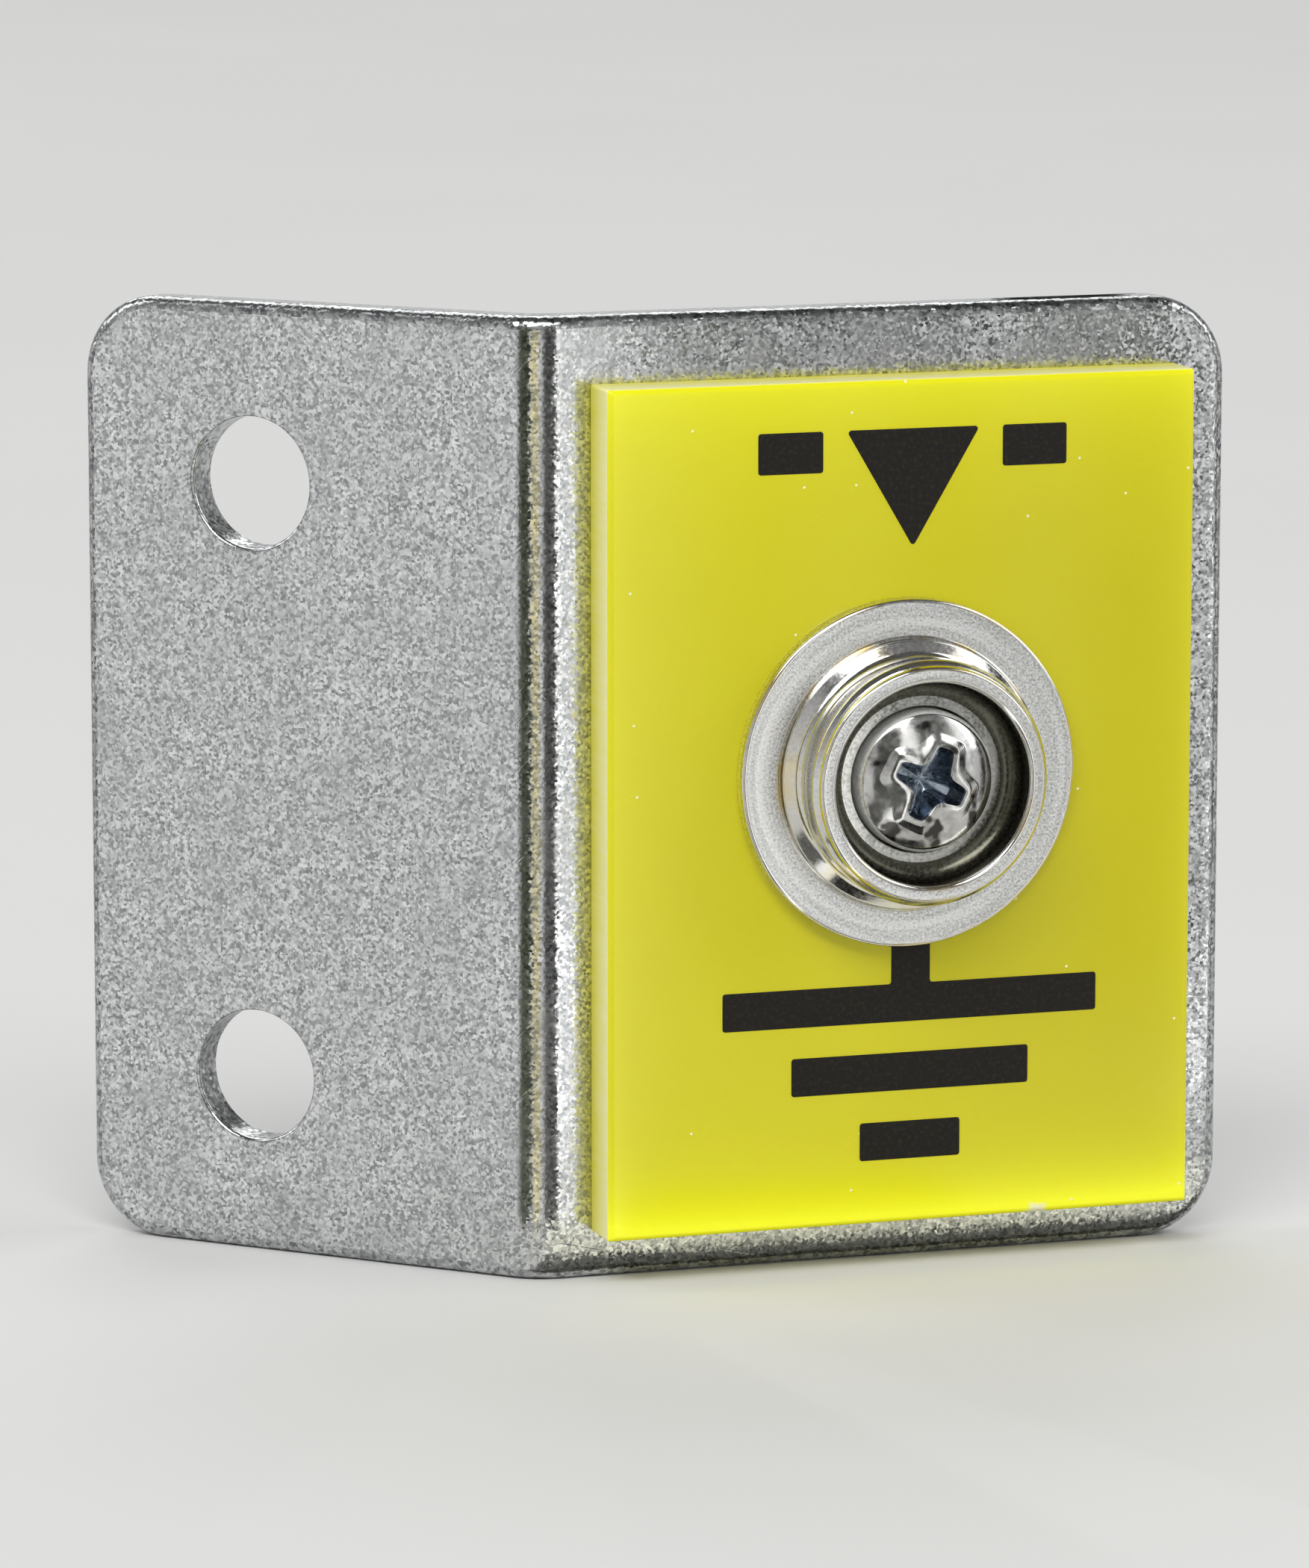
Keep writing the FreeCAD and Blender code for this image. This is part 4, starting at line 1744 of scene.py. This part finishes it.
@dataclass
class Stud:
    """The turned snap stud: foot, collar, hollowed neck, snap head, stepped rim and recess."""

    plate: PlateFrame
    seat: float = LABEL_THICKNESS
    bore: float = SCREW_HOLE / 2
    bore_break: float = 0.03
    foot_radius: float = 7.25
    foot: float = 0.7
    foot_break: float = 0.05
    foot_round: float = 0.16
    groove: float = 0.14
    groove_round: float = 0.02
    collar_radius: float = 5.6
    collar: float = 1.0
    collar_round: float = 0.1
    hollow_radius: float = 5.02
    hollow: float = 1.28
    hollow_round: float = 0.55
    neck_radius: float = 4.75
    neck: float = 1.85
    neck_round: float = 0.75
    snap_radius: float = 5.1
    snap: float = 2.45
    snap_round: float = 0.12
    shoulder: float = 0.25
    rim_radius: float = 4.85
    rim_step: float = 3.45
    step_below: float = 0.08
    step_above: float = 0.05
    step_half: float = 0.04
    rim: float = 3.7
    rim_taper: float = 0.03
    rim_round: float = 0.14
    recess_radius: float = 4.2
    mouth_round: float = 0.2
    floor: float = 2.1
    floor_fall: float = 0.1
    floor_rise: float = 0.08
    floor_round: float = 0.65
    head_seat_radius: float = 3.03
    head_seat: float = HEAD_SEAT
    seat_break: float = 0.05
    seat_round: float = 0.1
    round_steps: int = 9
    segments: int = 288

    def build(self) -> None:
        """Turns the stud from its half section, polished but for the foot and the recess."""
        polished, ground = StudFinish.POLISHED, StudFinish.GROUND
        bored, faced = StudFinish.BORED, StudFinish.FACED
        line = self.groove_round
        # Each corner has its rounding, the finish of that and the finish of the straight after it
        section = [
            (self.bore, 0.0, self.bore_break, ground, ground),
            (self.foot_radius, 0.0, self.foot_break, ground, ground),
            (self.foot_radius, self.foot, self.foot_round, polished, ground),
            (self.collar_radius + self.groove, self.foot, line, polished, polished),
            (self.collar_radius, self.foot - self.groove, line, polished, polished),
            (self.collar_radius, self.collar, self.collar_round, polished, polished),
            (self.hollow_radius, self.hollow, self.hollow_round, polished, polished),
            (self.neck_radius, self.neck, self.neck_round, polished, polished),
            (self.snap_radius, self.snap, self.snap_round, polished, polished),
            (self.snap_radius, self.rim_step - self.shoulder, self.shoulder, polished, polished),
            (self.rim_radius + self.step_below, self.rim_step - self.step_half, line, polished, polished),
            (self.rim_radius, self.rim_step, line, polished, polished),
            (self.rim_radius + self.step_above, self.rim_step + self.step_half, line, polished, polished),
            (self.rim_radius - self.rim_taper, self.rim, self.rim_round, polished, ground),
            # The bore wall and the floor's rounding get the bore finish, whose dark colour is painted shade
            (self.recess_radius, self.rim, self.mouth_round, polished, bored),
            (self.recess_radius, self.floor - self.floor_fall, self.floor_round, bored, faced),
            (self.head_seat_radius, self.floor + self.floor_rise, self.seat_break, faced, faced),
            (self.head_seat_radius, self.head_seat, self.seat_round, faced, faced),
            (self.bore, self.head_seat, self.bore_break, ground, ground),
        ]
        points = rounded([corner[:3] for corner in section], steps=self.round_steps)
        finishes = []
        for *_, rounding, straight in section:
            finishes += [rounding] * self.round_steps + [straight]
        draft = Draft()
        lathe(draft, [round_ring(*point) for point in points], finishes, self.segments, closed=True)
        piece = draft.to_object(
            "nickel_stud",
            [POLISHED_NICKEL, GROUND_NICKEL, BORE_SHADE_NICKEL, FACED_NICKEL],
            self.plate.place(self.seat),
        )
        register(piece, "snap_stud")


@dataclass
class CrossScrew:
    """The pan head screw with its cross recess, cold formed lip and threaded end."""

    plate: PlateFrame
    seat: float = LABEL_THICKNESS + HEAD_SEAT
    head_radius: float = 2.95
    head_side: float = 1.35
    head_height: float = 2.05
    shoulder: float = 0.4
    shoulder_lead: float = 0.1
    head_break: float = 0.06
    shank: float = 1.5
    length: float = 8.9
    thread_pitch: float = 0.5
    thread_depth: float = 0.27
    thread_length: float = 1.6
    flank_rise: float = 2.4
    crest_flat: float = 0.1
    tail_chamfer: float = 0.4
    cross_reach: float = 1.44
    cross_half: float = 0.4
    cross_depth: float = 1.3
    cross_draft: float = 8.0
    cross_point: float = 0.3
    cross_turn: float = 64.0
    mouth_break: float = 0.02
    lip_height: float = 0.12
    lip_width: float = 0.34
    # Shares of the lip's width and height, from the mouth of the cross outward
    lip_profile: tuple[tuple[float, float], ...] = ((0.0, 0.7), (0.28, 1.0), (0.6, 0.75), (1.0, 0.06))
    tip_softness: float = 6.0
    corner_softness: float = 1.6
    crown_steps: int = 8
    bright_steps: int = 2
    thread_steps: int = 12
    segments: int = 480

    def dome(self, radius: float) -> float:
        """Works out the crown, which is a part of a ball.

        Args:
            radius: distance from the axis.

        Returns:
            Height of the crown there.
        """
        rise = self.head_height - self.head_side
        ball = (self.head_radius**2 + rise**2) / (2 * rise)
        return self.head_height - ball + math.sqrt(ball**2 - radius**2)

    def cross(self, angle: float, grow: float) -> float:
        """Radius of the cross at an angle: two bars with softened corners.

        Args:
            angle: direction about the axis, in radians.
            grow: how far the outline is moved outward.

        Returns:
            The radius in millimetres.
        """
        turned = angle - math.radians(self.cross_turn)
        across = max(abs(math.cos(turned)), TINY)
        aside = max(abs(math.sin(turned)), TINY)
        reach, half = self.cross_reach + grow, self.cross_half + grow
        tip, corner = self.tip_softness, self.corner_softness

        def meet(first: float, second: float) -> float:
            """The nearer of two lines, softened where they meet."""
            return (first**-tip + second**-tip) ** (-1 / tip)

        bars = meet(reach / across, half / aside), meet(reach / aside, half / across)
        return (bars[0] ** corner + bars[1] ** corner) ** (1 / corner)

    def in_recess(self, angle: float, grow: float, height: float) -> tuple[float, float]:
        """A place on the recess's wall: the radius of the cross at a height."""
        return self.cross(angle, grow), height

    def on_crown(
        self, angle: float, grow: float, lift: float, spread: float = 0.0
    ) -> tuple[float, float]:
        """A place on the crown, between the cross and the shoulder.

        Args:
            angle: direction about the axis, in radians.
            grow: how far outside the cross the crown starts.
            lift: height above the crown.
            spread: share of the way from there to the shoulder.

        Returns:
            Its radius and height.
        """
        start = self.cross(angle, grow)
        radius = start + (self.head_radius - self.shoulder - start) * spread
        return radius, self.dome(radius) + lift

    def on_thread(self, angle: float, height: float) -> tuple[float, float]:
        """A place on the thread, whose crest climbs by a pitch in a turn.

        Args:
            angle: direction about the axis, in radians.
            height: height along the axis.

        Returns:
            Its radius and height.
        """
        tail = self.shank - self.tail_chamfer + (height + self.length)
        phase = (height / self.thread_pitch - angle / FULL_TURN) % 1.0
        flank = min(1.0, max(0.0, self.flank_rise * abs(phase - 0.5) - self.crest_flat))
        return min(self.shank - self.thread_depth * flank, tail), height

    def build(self) -> None:
        """Builds the screw ring by ring, from the recess over the head to the threaded end."""
        crown, recess, side = ScrewFinish.CROWN, ScrewFinish.RECESS, ScrewFinish.SIDE
        bottom = self.head_height - self.cross_depth
        narrow = -self.cross_depth * math.tan(math.radians(self.cross_draft))
        rings: list[tuple[Ring, ScrewFinish]] = [
            (round_ring(0.0, bottom - self.cross_point), recess),
            (partial(self.in_recess, grow=narrow, height=bottom), recess),
            (partial(self.on_crown, grow=-self.mouth_break, lift=-self.mouth_break), crown),
        ]
        for wide, high in self.lip_profile:
            lip = partial(self.on_crown, grow=wide * self.lip_width, lift=high * self.lip_height)
            rings.append((lip, crown))
        for step in range(1, self.crown_steps):
            spread = step / self.crown_steps
            rings.append((partial(self.on_crown, grow=self.lip_width, lift=0.0, spread=spread), crown))
        start = self.head_radius - self.shoulder - self.shoulder_lead
        profile = [
            (start, self.dome(start), 0.0),
            (self.head_radius, self.head_side, self.shoulder),
            (self.head_radius, 0.0, self.head_break),
            (self.shank, 0.0, 0.0),
        ]
        # The crown's shine goes on for the first steps of the shoulder
        for step, point in enumerate(rounded(profile, closed=False)[1:]):
            rings.append((round_ring(*point), crown if step < self.bright_steps else side))
        count = round(self.thread_length / self.thread_pitch * self.thread_steps)
        for step in range(count + 1):
            height = self.thread_length - self.length - self.thread_length * step / count
            rings.append((partial(self.on_thread, height=height), crown))
        rings.append((round_ring(0.0, -self.length), crown))
        draft = Draft()
        lathe(draft, [ring for ring, _ in rings], [finish for _, finish in rings], self.segments)
        finishes = [SCREW_CROWN, RECESS_SHADE_STEEL, HEAD_SIDE]
        piece = draft.to_object("cross_screw", finishes, self.plate.place(self.seat))
        register(piece, "stud_screw")


@dataclass
class LockWasher:
    """The toothed washer between the sheet and the nut."""

    plate: PlateFrame
    radius: float = 3.3
    hole_radius: float = SCREW_HOLE / 2
    thickness: float = WASHER_THICKNESS
    teeth: int = 10
    tooth_gap: float = 0.75
    root_gap: float = 0.4
    tooth_length: float = 0.9
    edge_round: float = 0.06
    round_share: float = 0.3
    root_steps: int = 4
    rim_steps: int = 10

    def build(self) -> None:
        """Builds the washer from one outline with its teeth."""
        root = self.radius - self.tooth_length
        rim_half = math.asin(self.tooth_gap / 2 / self.radius)
        root_half = math.asin(self.root_gap / 2 / root)
        axis = Vector((0.0, 0.0))
        outline: list[Vector] = []
        for tooth in range(self.teeth):
            middle = FULL_TURN * tooth / self.teeth
            following = FULL_TURN * (tooth + 1) / self.teeth
            outline += arc(axis, root, middle - root_half, middle + root_half, self.root_steps)
            outline += arc(axis, self.radius, middle + rim_half, following - rim_half, self.rim_steps)
        soft, softer = self.edge_round, self.edge_round * self.round_share
        profile = [
            (soft, 0.0),
            (softer, softer),
            (0.0, soft),
            (0.0, self.thickness - soft),
            (soft, self.thickness),
        ]
        draft = Draft()
        rim = draft.edge(outline, profile)
        bore = draft.edge(hole(0.0, 0.0, self.hole_radius), profile)
        for outer, inner in zip(rim, bore):
            draft.cap([outer, inner])
        place = self.plate.place(-SHEET_THICKNESS)
        piece = draft.to_object("toothed_washer", [SPRING_STEEL], place, front_first)
        register(piece, "lock_washer")


@dataclass
class HexNut:
    """The hexagon nut at the back, with turned corners."""

    plate: PlateFrame
    flats: float = 5.5
    height: float = 2.4
    bore: float = 1.53
    countersink: float = 0.25
    slope: float = 30.0
    face_inset: float = 0.05
    corner_softness: float = 60.0
    sides: int = 6
    segments: int = 360

    def flank(self, angle: float) -> float:
        """Works out the hexagon, with softened corners.

        Args:
            angle: direction about the axis, in radians.

        Returns:
            Its radius there.
        """
        step = FULL_TURN / self.sides
        total = 0.0
        for side in range(self.sides):
            facing = math.cos(angle - step * (side + 0.5))
            if facing > 0:
                total += (facing / (self.flats / 2)) ** self.corner_softness
        return total ** (-1 / self.corner_softness)

    def face_radius(self) -> float:
        """Radius of the flat end faces, inside the turned corners."""
        return self.flats / 2 - self.face_inset

    def lower_end(self, angle: float) -> tuple[float, float]:
        """Radius and height of the flanks' lower end, which the turned corners raise."""
        radius = self.flank(angle)
        return radius, max(0.0, (radius - self.face_radius()) * math.tan(math.radians(self.slope)))

    def upper_end(self, angle: float) -> tuple[float, float]:
        """Radius and height of the flanks' upper end."""
        radius, rise = self.lower_end(angle)
        return radius, self.height - rise

    def build(self) -> None:
        """Builds the nut ring by ring, from the bore over both ends."""
        mouth, face = self.bore + self.countersink, self.face_radius()
        rings: list[Ring] = [
            round_ring(self.bore, self.countersink),
            round_ring(mouth, 0.0),
            round_ring(face, 0.0),
            self.lower_end,
            self.upper_end,
            round_ring(face, self.height),
            round_ring(mouth, self.height),
            round_ring(self.bore, self.height - self.countersink),
        ]
        draft = Draft()
        lathe(draft, rings, [0] * len(rings), self.segments, closed=True)
        place = self.plate.place(-SHEET_THICKNESS - WASHER_THICKNESS - self.height)
        piece = draft.to_object("plated_nut", [NUT_STEEL], place)
        register(piece, "hex_nut")


@dataclass(frozen=True)
class Flag:
    """A card that lies on the floor and then stands up, which only shows in polished metal.

    Args:
        name: name of the card.
        finish: its finish.
        first: direction of one side from the sheet's bend, in degrees.
        last: direction of the other side.
        near: distance of its near edge from the bend.
        reach: distance at which it stands up.
        height: height of the standing part.
    """

    name: str
    finish: Finish
    first: float
    last: float
    near: float = 70.0
    reach: float = 80.0
    height: float = 70.0


@dataclass(frozen=True)
class Mat:
    """A card flat on the floor before the plate, which only shows in polished metal.

    Args:
        name: name of the mat.
        finish: its finish.
        along: its two ends along the plate, from the stud's axis.
        out: its near and far side, from the plate's face.
    """

    name: str
    finish: Finish
    along: tuple[float, float]
    out: tuple[float, float]


@dataclass(frozen=True)
class Lamp:
    """A soft box that faces the object.

    Args:
        name: name of the lamp.
        azimuth: direction from the object, in degrees.
        elevation: height above the horizon, in degrees.
        size: width and height of the box.
        level: how bright a white card facing the lamp gets from it, with 1 as white.
        reach: distance from the object.
    """

    name: str
    azimuth: float
    elevation: float
    size: tuple[float, float]
    level: float
    reach: float = 1500.0


FLAGS = (
    Flag("flag_flange", GREY_FLAG, -6.0, 12.0, near=14.0),
    Flag("card_warm", TAN_CARD, 15.0, 25.0, near=14.0, reach=30.0, height=40.0),
    Flag("flag_bend", DARK_CARD, 32.0, 51.0, near=14.0),
    Flag("panel_bend", LIGHT_PANEL, 52.0, 63.0, near=14.0),
    Flag("flag_plate", GREY_FLAG, 66.0, 69.0),
    Flag("flag_label", BLACK_FLAG, 73.0, 75.5),
    Flag("flag_free_edge", GREY_FLAG, 80.0, 83.0),
    Flag("panel_screw", LIGHT_PANEL, 91.0, 97.0, near=50.0),
    Flag("flag_right", BLACK_FLAG, 106.0, 113.0),
    Flag("flag_far_right", GREY_FLAG, 140.0, 146.0),
    Flag("flag_back", BLACK_FLAG, 186.0, 191.0),
    Flag("flag_far_back", GREY_FLAG, 238.0, 243.0),
    Flag("flag_left", BLACK_FLAG, 266.0, 272.0),
    Flag("flag_front_left", BLACK_FLAG, 297.0, 302.0),
)
MATS = (
    Mat("mat_stud", BLACK_FLAG, along=(-11.0, 7.0), out=(12.5, 20.0)),
    Mat("mat_edge", DARK_CARD, along=(-16.0, 18.0), out=(0.2, 3.8)),
    Mat("mat_pale", CREAM_CARD, along=(-16.0, 22.0), out=(4.0, 12.0)),
)
LAMPS = (
    Lamp("key_softbox", 18.0, 48.0, size=(1300.0, 560.0), level=0.71),
    Lamp("left_softbox", -70.0, 34.0, size=(700.0, 1100.0), level=0.2),
    Lamp("right_softbox", 112.0, 30.0, size=(800.0, 1100.0), level=0.3),
    Lamp("back_softbox", 215.0, 42.0, size=(1100.0, 900.0), level=0.3),
)


@dataclass
class Studio:
    """Floor, light, cards and camera."""

    plate: PlateFrame
    azimuth: float = 27.0
    elevation: float = 9.5
    distance: float = 330.0
    width_share: float = 0.86
    clip_start: float = 10.0
    clip_end: float = 20000.0
    floor_radius: float = 2500.0
    floor_steps: int = 96
    bend_x: float = HOLE_TO_BEND
    bend_y: float = BEND_RADIUS + SHEET_THICKNESS
    card_gap: float = 0.05
    horizon: str = "#D8D8D8"
    zenith: str = "#5A5A5A"
    # The sky darkens between these two, as the sine of the height above the horizon
    horizon_rise: float = 0.05
    zenith_rise: float = 0.8

    @staticmethod
    def towards(azimuth: float, elevation: float) -> Vector:
        """Unit vector from the object to a direction, azimuth 0 being -Y and 90 +X."""
        turn, rise = math.radians(azimuth), math.radians(elevation)
        return Vector((math.sin(turn) * math.cos(rise), -math.cos(turn) * math.cos(rise), math.sin(rise)))

    def middle(self) -> Vector:
        """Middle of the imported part's box."""
        return (cad_low + cad_high) / 2

    def card(
        self, name: str, corners: Sequence[Vector], finish: Finish, faces: Sequence[Sequence[int]]
    ) -> bpy.types.Object:
        """Adds a flat card of the studio, which isn't part of the object.

        Args:
            name: name of the card.
            corners: its corners in metres.
            finish: its finish.
            faces: the corners of each of its faces.

        Returns:
            The card.
        """
        mesh = bpy.data.meshes.new(name)
        mesh.from_pydata(corners, [], faces)
        mesh.materials.append(finish.material())
        card = bpy.data.objects.new(name, mesh)
        bpy.context.scene.collection.objects.link(card)
        return card

    def build_floor(self) -> None:
        """Lays the round floor under the part."""
        middle = self.middle()
        rim = arc(middle.xy, self.floor_radius * MM, 0.0, FULL_TURN, self.floor_steps)[:-1]
        corners = [Vector((point.x, point.y, cad_low.z)) for point in rim]
        self.card("studio_floor", corners, FLOOR, [range(len(corners))])

    def build_flag(self, flag: Flag) -> None:
        """Folds a flag and sets it up.

        Args:
            flag: the flag's finish, directions and sizes.
        """
        hub = Vector((self.bend_x * MM, self.bend_y * MM, cad_low.z + self.card_gap * MM))
        ways = [self.towards(azimuth, 0.0) * MM for azimuth in (flag.first, flag.last)]
        rise = Vector((0.0, 0.0, flag.height * MM))
        start = [hub + way * flag.near for way in ways]
        fold = [hub + way * flag.reach for way in ways]
        top = [point + rise for point in fold]
        corners = start + fold + top
        self.only_mirrored(self.card(flag.name, corners, flag.finish, [(0, 1, 3, 2), (2, 3, 5, 4)]))

    @staticmethod
    def only_mirrored(card: bpy.types.Object) -> None:
        """Leaves a card to show in polished metal alone.

        Args:
            card: the card.
        """
        card.visible_camera = False
        card.visible_diffuse = False
        card.visible_shadow = False

    def build_mat(self, mat: Mat) -> None:
        """Lays a mat.

        Args:
            mat: the mat's finish and sides.
        """
        foot = Vector((*self.plate.foot.xy, cad_low.z + self.card_gap * MM))
        near, far = (self.plate.out * side * MM for side in mat.out)
        left, right = (self.plate.along * side * MM for side in mat.along)
        corners = [foot + left + near, foot + right + near, foot + right + far, foot + left + far]
        self.only_mirrored(self.card(mat.name, corners, mat.finish, [(0, 1, 2, 3)]))

    def build_lamp(self, lamp: Lamp) -> None:
        """Hangs a soft box that faces the object.

        Args:
            lamp: the lamp's direction, size and level.
        """
        data = bpy.data.lights.new(lamp.name, "AREA")
        data.shape = "RECTANGLE"
        data.size, data.size_y = (side * MM for side in lamp.size)
        # An area lamp of this power gives that level at its distance
        data.energy = lamp.level * math.pi**2 * (lamp.reach * MM) ** 2
        box = bpy.data.objects.new(lamp.name, data)
        back = self.towards(lamp.azimuth, lamp.elevation)
        box.location = self.middle() + back * lamp.reach * MM
        box.rotation_mode = "QUATERNION"
        box.rotation_quaternion = back.to_track_quat("Z", "Y")
        bpy.context.scene.collection.objects.link(box)

    def build_world(self) -> None:
        """Gives a sky that is pale at the horizon and darker overhead."""
        world = bpy.data.worlds.new("studio_sky")
        bpy.context.scene.world = world
        world.use_nodes = True
        tree = world.node_tree
        tree.nodes.clear()
        way = add_node(tree, "ShaderNodeTexCoord").outputs["Generated"]
        rise = add_node(tree, "ShaderNodeSeparateXYZ", links={"Vector": way}).outputs["Z"]
        share = add_node(
            tree,
            "ShaderNodeMapRange",
            {"From Min": self.horizon_rise, "From Max": self.zenith_rise},
            {"Value": rise},
        )
        sky = add_node(
            tree,
            "ShaderNodeMix",
            {"data_type": "RGBA", "A_Color": linear(self.horizon), "B_Color": linear(self.zenith)},
            {"Factor_Float": share},
        )
        light = add_node(tree, "ShaderNodeBackground", links={"Color": sky})
        add_node(tree, "ShaderNodeOutputWorld", links={"Surface": light})

    def build_camera(self) -> None:
        """Aims a long lens at the middle of what it sees, so that the part fills the frame's width."""
        back = self.towards(self.azimuth, self.elevation)
        aside = UP.cross(back).normalized()
        above = back.cross(aside)
        points = [vertex.co for node in frame["nodes"].values() for vertex in node.data.vertices]
        across = [point.dot(aside) for point in points]
        upward = [point.dot(above) for point in points]
        target = (
            aside * (min(across) + max(across)) / 2
            + above * (min(upward) + max(upward)) / 2
            + back * self.middle().dot(back)
        )
        data = bpy.data.cameras.new("studio_camera")
        frame_height = (max(across) - min(across)) / self.width_share * IMAGE_HEIGHT / IMAGE_WIDTH
        data.lens = data.sensor_width * self.distance * MM / frame_height
        data.clip_start = self.clip_start * MM
        data.clip_end = self.clip_end * MM
        camera = bpy.data.objects.new("studio_camera", data)
        camera.location = target + back * self.distance * MM
        camera.rotation_mode = "QUATERNION"
        camera.rotation_quaternion = back.to_track_quat("Z", "Y")
        bpy.context.scene.collection.objects.link(camera)
        bpy.context.scene.camera = camera

    def build(self) -> None:
        """Sets up the whole studio."""
        self.build_floor()
        self.build_world()
        for flag in FLAGS:
            self.build_flag(flag)
        for mat in MATS:
            self.build_mat(mat)
        for lamp in LAMPS:
            self.build_lamp(lamp)
        self.build_camera()
        bpy.context.scene.view_settings.view_transform = "Standard"


def main() -> None:
    """Builds the pieces in order, then the studio."""
    logging.basicConfig(level=logging.INFO, format="%(name)s: %(message)s")
    plate = PlateFrame.read()
    for assembly in (Bracket, Label, Stud, CrossScrew, LockWasher, HexNut):
        assembly(plate).build()
    Studio(plate).build()


if __name__ == "__main__":
    main()
